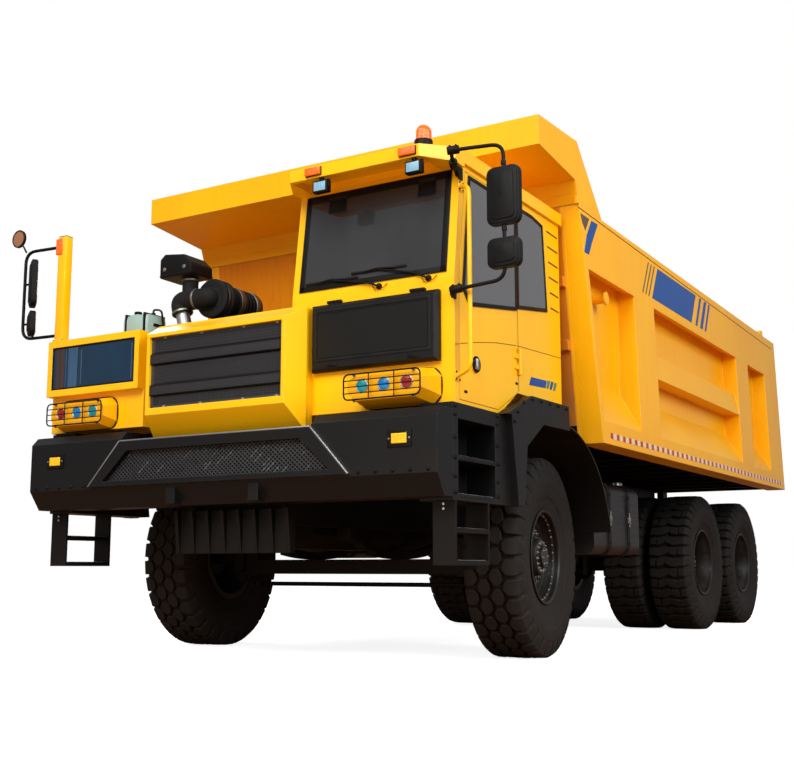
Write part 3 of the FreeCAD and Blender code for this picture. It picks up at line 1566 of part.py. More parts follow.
def mirrors_right():
    """Arm loop on the post with two mirror heads and a round mirror."""
    post_face = post_x[0]
    y = sum(post_y) / 2
    low, top = right_arm_z
    outer_top, outer_low = (right_arm_x, right_mirror_y, top), (right_arm_x, right_mirror_y, low)
    arm = slim_tube([(post_face, y, top), outer_top, outer_low, (post_face, y, low)], mirror_arm_radius)
    first = right_mirror_top_z
    heads = []
    second = first - mirror_size[2] - cab_wall
    for head_top, height in ((first, mirror_size[2]), (second, mirror_small_height)):
        heads.append(mirror_head(right_mirror_x, right_mirror_y, head_top, height, right_mirror_turn))
    stays = []
    for z in (first - mirror_size[2] / 2, first - mirror_size[2] - cab_wall - mirror_small_height / 2):
        ends = (right_arm_x, right_mirror_y, z), (right_mirror_x, right_mirror_y, z)
        stays.append(slim_bar(*ends, mirror_arm_radius))
    spot_x = spot_mirror_radius - mirror_reach
    back_y, face_y = right_mirror_y - mirror_arm_radius, right_mirror_y + mirror_arm_radius
    spot = rod((spot_x, back_y, spot_mirror_z), (spot_x, face_y, spot_mirror_z), spot_mirror_radius)
    branch_end = (spot_x, right_mirror_y, spot_mirror_z)
    branch = slim_bar((right_arm_x, right_mirror_y, top), branch_end, mirror_arm_radius / 2)
    return [fuse([arm, spot, branch] + heads + stays).cut(mirror_post()[0])]


def grab_rail():
    """Bent rail at the cab's left front corner."""
    low, top = grab_rail_z
    inner = cab_x[1] - cab_wall / 2
    rail_shape = slim_tube([
        (inner, grab_rail_y + cab_lean, top + cab_wall), (grab_rail_x, grab_rail_y, top),
        (grab_rail_x, grab_rail_y, low + cab_wall), (inner, grab_rail_y + grab_rail_foot, low),
    ], grab_rail_radius)
    return [rail_shape.cut(cab_shell()[0])]


# Wipers
wiper_pivots = ((1302, 2790), (1722, 2795))
wiper_blade = 480
wiper_reach = 430
wiper_lifts = (100, 128)
wiper_radius = 7
wiper_stand = 26


def wipers():
    """Two wipers lying across the foot of the windscreen."""
    arms = []
    slope = cab_lean / (cab_top_z - cab_waist_z)
    for (x, z), lift in zip(wiper_pivots, wiper_lifts):
        y = cab_front_y + slope * (z - cab_waist_z)
        spindle = slim_bar((x, y, z), (x, y - wiper_stand, z), wiper_radius)
        blade_z = z + lift
        blade_y = cab_front_y + slope * (blade_z - cab_waist_z) - wiper_stand
        middle, half = x - wiper_reach, wiper_blade / 2
        arm = slim_bar((x, y - wiper_stand, z), (middle, blade_y, blade_z), wiper_radius)
        blade = slim_bar((middle - half, blade_y, blade_z), (middle + half, blade_y, blade_z), wiper_radius)
        arms.append(fuse([spindle, arm, blade]).cut(prism(cab_outline(0), "x", *cab_x)))
    return arms


# Air intake and coolant tank on the deck
filter_x = -575
filter_y = (-1400, -850)
filter_z = 2998
filter_radius = 145
filter_ring_radius = 170
filter_rings = 2
filter_ring_width = 45
elbow_spot = (-893, -1430)
elbow_radius = 88
neck_x = -785
neck_radius = 70
rain_hood_y = (-1570, -1290)
rain_hood_outline = ((-1015, 3185), (-1015, 3355), (-960, 3400), (-745, 3375), (-660, 3290), (-655, 3190))
pipe_radius = 62
pipe_foot_x = -785
coolant_x = (-1412, -1106)
coolant_y = (-1600, -1350)
coolant_z = (cabinet_z[1], 2905)
coolant_corner = 60
coolant_cap_spot = (-1315, -1500)
coolant_cap_radius = 32
coolant_cap_height = 40
saddle_width = 60
saddle_places_y = (-1130, -920)


def air_intake():
    """Filter drum with its collar, elbow, pipe to the deck and rain hood."""
    drum = rod((filter_x, filter_y[0], filter_z), (filter_x, filter_y[1], filter_z), filter_radius)
    pieces = [drum]
    for index in range(filter_rings):
        y = filter_y[0] + 2 * index * filter_ring_width
        ends = (filter_x, y, filter_z), (filter_x, y + filter_ring_width, filter_z)
        pieces.append(rod(*ends, filter_ring_radius))
    elbow_x, elbow_y = elbow_spot
    elbow = (elbow_x, elbow_y, filter_z)
    joint = (filter_x, elbow_y, filter_z)
    pieces.append(bent_tube([(filter_x, filter_y[0] + overrun, filter_z), joint, elbow], elbow_radius))
    pieces.append(Part.makeSphere(elbow_radius, Vector(*elbow)))
    pieces.append(rod(elbow, (pipe_foot_x, elbow_y, deck_z[1]), pipe_radius))
    hood_low = min(spot[1] for spot in rain_hood_outline)
    pieces.append(rod((neck_x, elbow_y, filter_z), (neck_x, elbow_y, hood_low + overrun), neck_radius))
    pieces.append(prism(list(rain_hood_outline), "y", *rain_hood_y))
    half = saddle_width / 2
    span_x = (filter_x - filter_radius / 2, filter_x + filter_radius / 2)
    for y in saddle_places_y:
        pieces.append(box(span_x, (y - half, y + half), (deck_z[1], filter_z)))
    foot_y = (elbow_y - elbow_radius, elbow_y + elbow_radius)
    under_deck = box(deck_x, foot_y, deck_z)
    return [fuse(pieces).cut(under_deck)]


def coolant_tank():
    """Coolant tank on the cabinet's roof, with its filler cap."""
    body = box(coolant_x, coolant_y, coolant_z)
    top_edges = [e for e in body.Edges if e.Vertexes[0].Z + e.Vertexes[-1].Z > coolant_z[0] + coolant_z[1]]
    body = body.makeFillet(coolant_corner, top_edges)
    foot, head = coolant_z[1] - overrun, coolant_z[1] + coolant_cap_height
    cap = rod((*coolant_cap_spot, foot), (*coolant_cap_spot, head), coolant_cap_radius)
    return [fuse([body, cap])]


# Guard plate under the nose
guard_x = (-560, 560)
guard_z = (835, 1170)
guard_thickness = 40
guard_y = (rail_front_y - guard_thickness, rail_front_y)
guard_ribs = 8
guard_rib = (30, 60)
guard_rib_foot = 20


def guard_plate():
    """Under nose guard with upright ribs, hung from the rails."""
    plate = box(guard_x, guard_y, guard_z)
    pieces = [plate]
    width, depth = guard_rib
    face, (low, high) = guard_y[0], guard_z
    outline = [(face, low), (face - guard_rib_foot, low), (face - depth, high), (face, high)]
    pitch = (guard_x[1] - guard_x[0] - width) / (guard_ribs - 1)
    for index in range(guard_ribs):
        x = guard_x[0] + index * pitch
        pieces.append(prism(outline, "x", x, x + width))
    return [fuse(pieces)]


# Bed
bed_front_foot_y = 560
bed_front_top_y = 270
bed_front_lean_z = (bed_floor_z, 3920)
front_ribs_z = (2600, 3150)
front_rib_height = 90
front_rib_depth = 70
band_z = 3300
band_under = 70
skirt_z = (1990, 2350)
front_rib_y = (1600, 2185)
ribs_before_tail = ((2180, 1605), (710, 0))
ribs_y = (front_rib_y,) + tuple((tail_y - far, tail_y - near) for far, near in ribs_before_tail)
mid_rib_z = (2580, 2830)
mid_rib_bevel = 45
flange_width = 70
lifting_pin_spot = (950, 3150)
lifting_pin_radius = 45
lifting_pin_length = 120
lifting_collar = 16
canopy_lip_y = -555
canopy_lip_z = (4120, 4372)
canopy_crest = (265, 4413)
canopy_knee = (205, 4045)
canopy_heel_y = 826
canopy_sheet = 30
canopy_vent_radius = 40
canopy_vent_inset = 450
canopy_vent_x = bed_wall_x - canopy_vent_inset
floor_plate = 25
cross_beam_height = 120
cross_beam_width = 70
cross_beams = 13
sill_width = 100
sill_overhang = 5
sill_outer_x = frame_half_width + sill_overhang
sill_x = (sill_outer_x - sill_width, sill_outer_x)
sill_gap = 5
hoist_pocket_half = 186
hoist_cheek_gap = 10
hoist_cheek_x = hoist_x + hoist_eye_width / 2 + hoist_cheek_gap
hoist_cheek_drop = 70
ear_plate_radius = 88


def front_line(z):
    """Y of the bed's leaning front at a height."""
    low, top = bed_front_lean_z
    share = (z - low) / (top - low)
    return bed_front_foot_y + share * (bed_front_top_y - bed_front_foot_y)


def outer_x(z):
    """X of the bed's outer faces at a height."""
    share = (z - bed_foot_z) / (bed_top_z - bed_foot_z)
    return bed_half_width_foot + share * (bed_half_width_top - bed_half_width_foot)


def bed_side():
    """Left bed wall as welded plates: inset sheet, top band, sloping skirt, flange and box ribs."""
    inner = bed_wall_x - bed_wall
    front_foot, front_top = front_line(bed_foot_z), front_line(bed_top_z)
    outline = [(front_foot, bed_foot_z), (front_top, bed_top_z), (tail_y, bed_top_z), (tail_y, bed_foot_z)]
    limits = prism(outline, "x", inner, bed_half_width_foot + overrun)
    low, high = skirt_z
    band_foot = [(outer_x(band_z), band_z), (bed_wall_x, band_z + band_under)]
    skirt_head = [(outer_x(low), low), (bed_wall_x, high)]
    band = band_foot + [(bed_wall_x, bed_top_z), (outer_x(bed_top_z), bed_top_z)]
    skirt = [(bed_wall_x, bed_foot_z), (outer_x(bed_foot_z), bed_foot_z)] + skirt_head
    rib = skirt_head + band_foot[::-1]
    pieces = [prism(outline, "x", inner, bed_wall_x)]
    for shape in (band, skirt):
        pieces.append(prism(shape, "y", front_top - overrun, tail_y).common(limits))
    pieces += [prism(rib, "y", *y) for y in ribs_y]
    pieces.append(prism(middle_rib_outline(), "y", ribs_y[0][1], ribs_y[1][0]))
    flange = [(front_foot, bed_foot_z), (front_top, bed_top_z)]
    flange += [(y + flange_width, z) for y, z in flange[::-1]]
    leaning = prism(flange, "x", inner, bed_half_width_foot + overrun)
    pieces.append(prism(rib, "y", front_top - overrun, front_foot + flange_width).common(leaning))
    return pieces + [lifting_pin(), gate_ear()]


def middle_rib_outline():
    """Section of the rib along the bed's middle, in x and z."""
    low, high = mid_rib_z
    top_x = outer_x(high) - mid_rib_bevel
    return [
        (bed_wall_x, low), (outer_x(low) - panel_gap, low), (top_x, high), (bed_wall_x, high + mid_rib_bevel),
    ]


def lifting_pin():
    """Pin with a collar on the left bed wall, where slings hold the bed."""
    y, z = lifting_pin_spot
    end = bed_wall_x + lifting_pin_length + lifting_collar
    pin = rod((bed_wall_x, y, z), (end, y, z), lifting_pin_radius)
    collar = rod((end - lifting_collar, y, z), (end, y, z), lifting_pin_radius + lifting_collar)
    return fuse([pin, collar])


def bed_front():
    """Leaning front wall of the bed with two ribs across it."""
    half = bed_wall_x - bed_wall
    low, top = bed_floor_z, bed_top_z
    outline = [(front_line(z), z) for z in (low, top)]
    outline += [(y + bed_wall, z) for y, z in reversed(outline)]
    pieces = [prism(outline, "x", -half, half)]
    for z in front_ribs_z:
        high = z + front_rib_height
        root_low, root_high = front_line(z) + bed_wall / 2, front_line(high) + bed_wall / 2
        face_low, face_high = root_low - front_rib_depth, root_high - front_rib_depth
        rib = [(root_low, z), (face_low, z), (face_high, high), (root_high, high)]
        pieces.append(prism(rib, "x", -half, half))
    return [fuse(pieces)]


def bed_canopy():
    """Hollow box over the front of the truck, with a cheek behind each of its ends."""
    half, t = bed_half_width_top, canopy_sheet
    lip_low, lip_top = canopy_lip_z
    root_y = front_line(bed_top_z)
    root = (root_y, bed_top_z)
    profile = [(canopy_lip_y, lip_low), (canopy_lip_y, lip_top), canopy_crest, root, canopy_knee]
    crest_y, crest_z = canopy_crest
    knee_y, knee_z = canopy_knee
    inside = [
        (canopy_lip_y + t, lip_low + t), (canopy_lip_y + t, lip_top - t), (crest_y - t, crest_z - t),
        (root_y - t, bed_top_z + 2 * t), (knee_y + t, knee_z + t / 2),
    ]
    shell = prism(profile, "x", -half, half).cut(prism(inside, "x", t - half, half - t))
    cheek = [canopy_crest, (canopy_heel_y, bed_top_z), (root_y - t, bed_top_z)]
    body = fuse([shell] + both_sides(prism(cheek, "x", half - t, half)))
    vent_z = (crest_z + bed_top_z) / 2
    for sign in (-1, 1):
        x = sign * canopy_vent_x
        body = body.cut(rod((x, knee_y + t, vent_z), (x, root_y + t, vent_z), canopy_vent_radius))
    return [body]


def bed_floor():
    """Bed floor on cross beams and two sills, with lugs for the tipping shaft and the hoist."""
    half = bed_wall_x - bed_wall
    plate_foot = bed_floor_z - floor_plate
    start = front_line(plate_foot)
    plate = box((-half, half), (start, tail_y), (plate_foot, bed_floor_z))
    beam_z = (plate_foot - cross_beam_height, plate_foot)
    pocket_y = (hoist_head_y - hoist_pocket_half, hoist_head_y + hoist_pocket_half)
    pocket = box((-sill_x[0], sill_x[0]), pocket_y, (beam_z[0] - overrun, beam_z[1]))
    beams = []
    for beam in box_row((-half, half), (start, tail_y, cross_beam_width), beam_z, cross_beams):
        beams += beam.cut(pocket).Solids
    sill_end = pivot_y - ear_radius - ear_plate_radius
    sills = both_sides(box(sill_x, (start, sill_end), (rail_top_z + sill_gap, beam_z[0])))
    return [plate] + beams + sills + both_sides(pivot_lug(plate_foot)) + hoist_head(plate_foot)


def pivot_lug(top_z):
    """Lug under the bed's floor that turns on the left stub of the tipping shaft."""
    x = (frame_half_width + pivot_lug_gap, frame_half_width + pivot_lug_gap + pivot_lug_width)
    plate = box(x, (pivot_y - ear_plate_radius, pivot_y + ear_plate_radius), (pivot_z, top_z))
    crown = rod((x[0], pivot_y, pivot_z), (x[1], pivot_y, pivot_z), ear_plate_radius)
    ends = (x[0] - overrun, pivot_y, pivot_z), (x[1] + overrun, pivot_y, pivot_z)
    hole = rod(*ends, pivot_radius + seat_gap)
    return fuse([plate, crown]).cut(hole)


def hoist_head(top_z):
    """Bar for the heads of the hoist between two cheeks under the bed's floor."""
    y = (hoist_head_y - hoist_eye_radius, hoist_head_y + hoist_eye_radius)
    cheek = box((hoist_cheek_x, sill_x[0]), y, (hoist_head_z - hoist_cheek_drop, top_z))
    spot = (hoist_head_y, hoist_head_z)
    bar = rod((-hoist_cheek_x, *spot), (hoist_cheek_x, *spot), hoist_pin_radius)
    return both_sides(cheek) + [bar]


# Tailgate, hung from pins at the top of the bed
gate_gap = 8
gate_thickness = 70
gate_pin_set = 160
gate_pin_y = tail_y - gate_pin_set
gate_pin_z = 3960
gate_pin_radius = 28
gate_ear_radius = 62
gate_ear_width = 60
gate_arm_width = 60
gate_rib_depth = 60
gate_ribs = 5


def gate_ear():
    """Ear with the gate's pin, on top of the left bed wall."""
    x = (bed_wall_x - bed_wall, bed_wall_x - bed_wall + gate_ear_width)
    plate = box(x, (gate_pin_y - gate_ear_radius, gate_pin_y + gate_ear_radius), (bed_top_z, gate_pin_z))
    crown = rod((x[0], gate_pin_y, gate_pin_z), (x[1], gate_pin_y, gate_pin_z), gate_ear_radius)
    spot = (gate_pin_y, gate_pin_z)
    pin = rod((x[0] - gate_gap - gate_arm_width, *spot), (x[1], *spot), gate_pin_radius)
    return fuse([plate, crown, pin])


def gate_arm(half, top):
    """Left arm of the tailgate, from the pin down to the gate's corner."""
    x = (half - gate_arm_width, half)
    foot_z = top - 2 * gate_arm_width
    outline = [
        (gate_pin_y - gate_ear_radius, gate_pin_z),
        (gate_pin_y + gate_ear_radius, gate_pin_z + gate_ear_radius / 2),
        (tail_y, top), (tail_y, foot_z), (tail_y - gate_thickness, foot_z),
    ]
    crown = rod((x[0], gate_pin_y, gate_pin_z), (x[1], gate_pin_y, gate_pin_z), gate_ear_radius)
    spot = (gate_pin_y, gate_pin_z)
    hole = rod((x[0] - overrun, *spot), (x[1] + overrun, *spot), gate_pin_radius + seat_gap)
    return fuse([prism(outline, "x", *x), crown]).cut(hole)


def tailgate():
    """Ribbed tailgate, and an arm up to the pin at each side."""
    half = bed_wall_x - bed_wall - gate_gap
    low = bed_floor_z + gate_gap
    y = (tail_y - gate_thickness, tail_y)
    top = bed_top_z - 2 * overrun
    pieces = [box((-half, half), (y[0], y[1] - gate_thickness / 2), (low, top))]
    pitch = (2 * half - gate_rib_depth * 2) / (gate_ribs - 1)
    for index in range(gate_ribs):
        x = index * pitch - half
        pieces.append(box((x, x + gate_rib_depth * 2), y, (low, top)))
    for z in (low, top - gate_rib_depth * 2):
        pieces.append(box((-half, half), y, (z, z + gate_rib_depth * 2)))
    corner = box((half - gate_arm_width, half), (y[0], y[1]), (top - 2 * gate_arm_width, top))
    panel = fuse(pieces).cut(fuse_all(both_sides(corner)))
    return [panel] + both_sides(gate_arm(half, top))


# Tail lamps
tail_lamp_gap = 20
tail_lamp_width = 170
tail_lamp_lift = 130
tail_lamp_height = 120
tail_lamp_depth = 60


def tail_lamps():
    """Red lamp boxes on the back of the last cross member."""
    front = cross_places[-1] + cross_depth / 2
    outer_x = frame_half_width - rail_width - tail_lamp_gap
    low_z = rail_bottom_z + tail_lamp_lift
    x, z = (outer_x - tail_lamp_width, outer_x), (low_z, low_z + tail_lamp_height)
    return both_sides(box(x, (front, front + tail_lamp_depth), z))


def model():
    """Every node of the truck, by name, as lists of solids."""
    nodes = {
        "chassis_frame": chassis_frame(), "front_bumper": front_bumper(), "bumper_mesh": bumper_mesh(),
        "step_housings": both_sides(step_housing()), "ladders": both_sides(ladder()),
        "front_fenders": both_sides(front_fender()), "hood_cowl": hood_cowl(), "grille": grille(),
        "side_cabinet": side_cabinet(), "engine_deck": engine_deck(), "cab_shell": cab_shell(),
        "cab_glass": windscreen() + cab_windows() + cabinet_glass(), "cab_roof": cab_roof(),
        "cab_interior": seat() + dashboard(), "steering_wheel": steering_wheel(),
        "door": door(), "door_glass": door_glass(), "service_flap": service_flap(),
        "mirrors": mirrors_left() + mirrors_right(), "post_and_rail": mirror_post() + grab_rail(),
        "wipers": wipers(), "air_intake": air_intake(), "coolant_tank": coolant_tank(),
        "guard_plate": guard_plate(), "engine_block": engine_block(), "driveline": driveline(),
        "side_tanks": both_sides(side_tank()), "front_axle": front_axle(),
        "leaf_springs": front_springs() + rear_suspension(), "tie_rod": tie_rod(),
        "rear_axles": [rear_axle(middle_axle_y), rear_axle(rear_axle_y)],
        "bed_sides": [solid for piece in bed_side() for solid in both_sides(piece)],
        "bed_front": bed_front(), "bed_canopy": bed_canopy(),
        "bed_floor": bed_floor(), "tailgate": tailgate(),
    }
    nodes.update(headlamps())
    nodes["signal_lamps"] = fog_lamps() + roof_markers() + beacon() + tail_lamps()
    nodes.update(knuckles())
    nodes.update(front_wheels())
    nodes.update(rear_wheels())
    nodes.update(hoist_pieces())
    return nodes


def save(nodes):
    """Write one STEP file for each node, in the part's own frame."""
    os.makedirs("parts", exist_ok=True)
    for name, solids in nodes.items():
        shape = solids[0] if len(solids) == 1 else Part.makeCompound(solids)
        moved(shape, y=front_axle_shift).exportStep(f"parts/{name}.step")


save(model())
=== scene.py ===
# %% [markdown]
# # A three axle dump truck, dressed in Blender
# The truck comes from CAD as a fixed frame of plain solids. Here every surface gets its
# finish, and the plain stand-ins for tyres, rims, lamps, mirrors and grilles are replaced by
# detailed pieces that sit in the same place. The frame is loaded first, and the box it fills
# is kept, because nothing added later may grow past it.

# %% Load the frame
import math
import bmesh
import bpy
from mathutils import Matrix, Vector


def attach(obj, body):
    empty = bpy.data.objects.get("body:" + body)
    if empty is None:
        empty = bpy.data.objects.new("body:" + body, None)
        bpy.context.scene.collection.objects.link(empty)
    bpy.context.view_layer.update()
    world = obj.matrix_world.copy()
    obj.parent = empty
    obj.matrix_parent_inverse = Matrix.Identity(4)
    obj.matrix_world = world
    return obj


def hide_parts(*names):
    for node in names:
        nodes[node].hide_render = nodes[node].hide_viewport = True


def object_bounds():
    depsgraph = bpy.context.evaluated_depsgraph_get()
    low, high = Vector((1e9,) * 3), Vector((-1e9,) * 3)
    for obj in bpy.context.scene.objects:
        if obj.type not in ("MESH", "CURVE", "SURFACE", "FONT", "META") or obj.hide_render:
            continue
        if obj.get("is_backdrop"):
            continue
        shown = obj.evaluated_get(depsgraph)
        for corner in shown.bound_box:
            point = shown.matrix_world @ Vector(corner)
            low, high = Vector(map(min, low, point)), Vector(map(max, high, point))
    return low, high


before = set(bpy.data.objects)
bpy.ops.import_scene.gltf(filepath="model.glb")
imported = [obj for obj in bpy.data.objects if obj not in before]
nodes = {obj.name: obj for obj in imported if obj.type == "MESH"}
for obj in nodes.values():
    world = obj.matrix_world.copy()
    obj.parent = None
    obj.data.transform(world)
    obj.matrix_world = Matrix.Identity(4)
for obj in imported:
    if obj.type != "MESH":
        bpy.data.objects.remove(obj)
cad_low, cad_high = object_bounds()
both_sides = (("left", 1), ("right", -1))
print("nodes loaded:", len(nodes))

# %% [markdown]
# The CAD was drawn in millimetres from the front axle line. Keeping the same numbers here
# makes every place easy to check against the drawing, so one small function turns a point
# measured that way into metres in the frame. A span is the two ends of a length about its
# middle, which is how most plates and boxes are given.

# %% Places in millimetres
front_axle_y = -2.819


def at(x, y, z):
    """Point in metres, from millimetres measured from the front axle line."""
    return Vector((x / 1000, y / 1000 + front_axle_y, z / 1000))


def span(middle, half):
    """Two ends of a length about its middle."""
    return (middle - half, middle + half)


print("front axle line stands at y", front_axle_y)

# %% [markdown]
# The camera stands low at the truck's front left, a little below the bumper's height, and
# looks up along the cab. That low stand is what makes the truck look tall. The lens and the
# shift were worked out from corners whose places are known.

# %% Camera
tilted_up, turned_left = 8.547, 31.10
camera_data = bpy.data.cameras.new("camera")
camera_data.lens, camera_data.sensor_width, camera_data.clip_end = 51.22, 36, 500
camera_data.shift_x, camera_data.shift_y = 0.001, 0.0213
camera = bpy.data.objects.new("camera", camera_data)
camera.location = (5.627, -11.448, 0.722)
camera.rotation_euler = (math.radians(90 + tilted_up), 0, math.radians(turned_left))
scene = bpy.context.scene
scene.collection.objects.link(camera)
bpy.context.scene.camera = camera
print("camera at", tuple(round(v, 2) for v in camera.location))

# %% [markdown]
# Light, finishes and repeats are all trees of nodes. A tree could be wired line by line, but
# nearly every line then makes one node or one link. Two helpers do both at once: an input is
# given a number, a colour or another node's socket. The Math node is the same in shader trees
# and in geometry trees, so it has one helper for both.

# %% Node helpers
def feed(tree, node, inputs):
    """Fills a node's inputs, each with a value or with a link from another node's socket."""
    for label, value in inputs.items():
        if isinstance(value, bpy.types.NodeSocket):
            tree.links.new(value, node.inputs[label])
        else:
            node.inputs[label].default_value = value


def wired(tree, kind, inputs=None, **settings):
    """New node of a tree, with its settings and its inputs."""
    made = tree.nodes.new(kind)
    for label, value in settings.items():
        setattr(made, label, value)
    feed(tree, made, inputs or {})
    return made


def sums(tree, operation, first, second=None, clamp=False):
    """Result of a Math node; each side is a socket or a number."""
    values = {0: first} if second is None else {0: first, 1: second}
    return wired(tree, "ShaderNodeMath", values, operation=operation, use_clamp=clamp).outputs[0]


def one_axis(tree, vector, axis):
    """One axis of a vector socket."""
    return wired(tree, "ShaderNodeSeparateXYZ", {0: vector}).outputs[axis]


print("node helpers ready")

# %% [markdown]
# The light is a plain studio: a broad key lamp in front, a second one on the truck's left, a
# softer one behind its right, a small warm one low before the bumper, and a pale world that
# fills the shadows. The camera sees the world white through Light Path, so the lamps can stay
# at a level where a colour renders about as it is written. Polished parts see the world a
# little brighter than dull ones do.

# %% Light
scene.view_settings.view_transform = "Standard"
world = bpy.data.worlds.new("studio")
scene.world = world
world.use_nodes = True
sky = world.node_tree
sky.nodes.clear()
fill_strength, more_for_gloss = 0.27, 0.22
ray = wired(sky, "ShaderNodeLightPath").outputs
strength = wired(sky, "ShaderNodeMath", {0: ray["Is Glossy Ray"], 1: more_for_gloss, 2: fill_strength},
                 operation="MULTIPLY_ADD").outputs[0]
pale = wired(sky, "ShaderNodeBackground", {"Color": (0.92, 0.95, 1.0, 1), "Strength": strength})
white = wired(sky, "ShaderNodeBackground", {"Color": (1, 1, 1, 1), "Strength": 1.0})
seen = sums(sky, "MAXIMUM", ray["Is Camera Ray"], ray["Is Transmission Ray"])
mixed = wired(sky, "ShaderNodeMixShader", {"Fac": seen, 1: pale.outputs[0], 2: white.outputs[0]})
wired(sky, "ShaderNodeOutputWorld", {"Surface": mixed.outputs[0]})


def lamp(name, place, aim, size, watts, colour=(1, 1, 1)):
    """Square area lamp that looks at a point."""
    data = bpy.data.lights.new(name, "AREA")
    data.size, data.energy, data.color = size, watts, colour
    made = bpy.data.objects.new(name, data)
    scene.collection.objects.link(made)
    made.location = place
    made.rotation_euler = (Vector(aim) - Vector(place)).to_track_quat("-Z", "Y").to_euler()


lamp("key", (3.0, -17, 12), (0, -2, 2), 9, 2550, (1, 0.98, 0.94))
lamp("side", (15.5, -7, 8.5), (1.5, -2, 2), 9, 2000, (1, 0.99, 0.97))
lamp("rim", (-12, 6, 12), (0, 0, 3), 7, 900)
lamp("low", (1, -8.5, 0.5), (-0.2, -2, 1.9), 3, 60, (1, 0.84, 0.66))

# %% [markdown]
# The floor is one large sheet. The camera sees it nearly white, with a faint glow of its own
# that keeps the truck's shadow. What it throws back at the truck is darker and warmer,
# because the undersides of the photo are a deep orange brown.

# %% Floor
reach = 60
corners = [(-reach, -reach, 0), (reach, -reach, 0), (reach, reach, 0), (-reach, reach, 0)]
floor_mesh = bpy.data.meshes.new("floor")
floor_mesh.from_pydata(corners, [], [(0, 1, 2, 3)])
floor = bpy.data.objects.new("floor", floor_mesh)
scene.collection.objects.link(floor)
floor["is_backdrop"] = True


def new_finish(name):
    """New material with its tree and its shader."""
    made = bpy.data.materials.new(name)
    made.use_nodes = True
    return made, made.node_tree, made.node_tree.nodes["Principled BSDF"]


pale_floor, tree, shader = new_finish("pale_floor")
feed(tree, shader, {"Base Color": (0.86, 0.86, 0.87, 1), "Roughness": 0.85})
glow = wired(tree, "ShaderNodeEmission", {"Strength": 0.85})
seen = wired(tree, "ShaderNodeAddShader", {0: shader.outputs[0], 1: glow.outputs[0]})
bounce = wired(tree, "ShaderNodeBsdfDiffuse", {"Color": (0.37, 0.18, 0.105, 1)})
ray = wired(tree, "ShaderNodeLightPath").outputs["Is Camera Ray"]
mixed = wired(tree, "ShaderNodeMixShader", {"Fac": ray, 1: bounce.outputs[0], 2: seen.outputs[0]})
feed(tree, tree.nodes["Material Output"], {"Surface": mixed.outputs[0]})
floor_mesh.materials.append(pale_floor)
print("floor is", 2 * reach, "m wide")

# %% [markdown]
# # Finishes
# Painted steel, moulded plastic, rubber and bare metal all share a few effects: paler edges of
# rubbed paint and painted highlight, dust that settles low down, streaks that run down upright
# faces, and a fine grain.
# Each effect is a shader node group, built once and placed in each material with its own
# values. A group puts out only masks, heights and normals, so the export can bake them.

# %% Shader group tools
def hex_colour(code):
    """Linear colour from a six figure code."""
    values = [int(code[i:i + 2], 16) / 255 for i in (0, 2, 4)]
    linear = [v / 12.92 if v <= 0.04045 else ((v + 0.055) / 1.055) ** 2.4 for v in values]
    return (*linear, 1)


def effect_group(name, inputs, outputs):
    """Empty shader group with named inputs and outputs, and its two end nodes."""
    group = bpy.data.node_groups.new(name, "ShaderNodeTree")
    for label, value in inputs.items():
        made = group.interface.new_socket(label, in_out="INPUT", socket_type="NodeSocketFloat")
        made.default_value = value
    for label, kind in outputs.items():
        group.interface.new_socket(label, in_out="OUTPUT", socket_type=f"NodeSocket{kind}")
    return group, group.nodes.new("NodeGroupInput").outputs, group.nodes.new("NodeGroupOutput")


def noise(tree, scale, detail, stretch=(1, 1, 1), rough=0.55):
    """Noise on Object coordinates; the scale is a socket or a number."""
    spots = wired(tree, "ShaderNodeTexCoord").outputs["Object"]
    spots = wired(tree, "ShaderNodeMapping", {"Vector": spots, "Scale": stretch}).outputs[0]
    inputs = {"Vector": spots, "Scale": scale, "Detail": detail, "Roughness": rough}
    return wired(tree, "ShaderNodeTexNoise", inputs).outputs["Fac"]


print("shader tools ready")

# %% [markdown]
# Edges catch the light on the real truck, because sheet steel is folded with a small radius
# and paint rubs thin there. The Bevel node gives both: its normal rounds the edge, and where
# it differs from the true normal the mask tints the edge paler, for rubbed paint and as a
# painted highlight. Pointiness would need a dense, joined mesh, and a CAD mesh isn't one.

# %% Effect: rubbed edges and painted highlight
worn_edge, given, end = effect_group(
    "worn_edge", {"Radius": 0.008, "Amount": 1.0, "Scale": 9.0}, {"Mask": "Float", "Normal": "Vector"},
)
rounded = wired(worn_edge, "ShaderNodeBevel", {"Radius": given["Radius"]}, samples=4).outputs[0]
true_face = wired(worn_edge, "ShaderNodeNewGeometry").outputs["True Normal"]
likeness = wired(worn_edge, "ShaderNodeVectorMath", {0: rounded, 1: true_face}, operation="DOT_PRODUCT")
turn = sums(worn_edge, "SUBTRACT", 1.0, likeness.outputs["Value"])
patchy = sums(worn_edge, "SUBTRACT", noise(worn_edge, given["Scale"], 5), 0.38)
strong = sums(worn_edge, "MULTIPLY", sums(worn_edge, "MULTIPLY", turn, 9.0), patchy)
strong = sums(worn_edge, "MULTIPLY", strong, 3.0, True)
# Mask of the paler edge: rubbed paint, and a painted highlight.
worn_and_lit_mask = sums(worn_edge, "MULTIPLY", strong, given["Amount"], True)
feed(worn_edge, end, {"Mask": worn_and_lit_mask, "Normal": rounded})
print("group:", worn_edge.name)

# %% [markdown]
# Dust lies on what faces up and on what is low down. The mask mixes the height above the
# ground with the way a face looks, and breaks up the edge of the dust with noise.

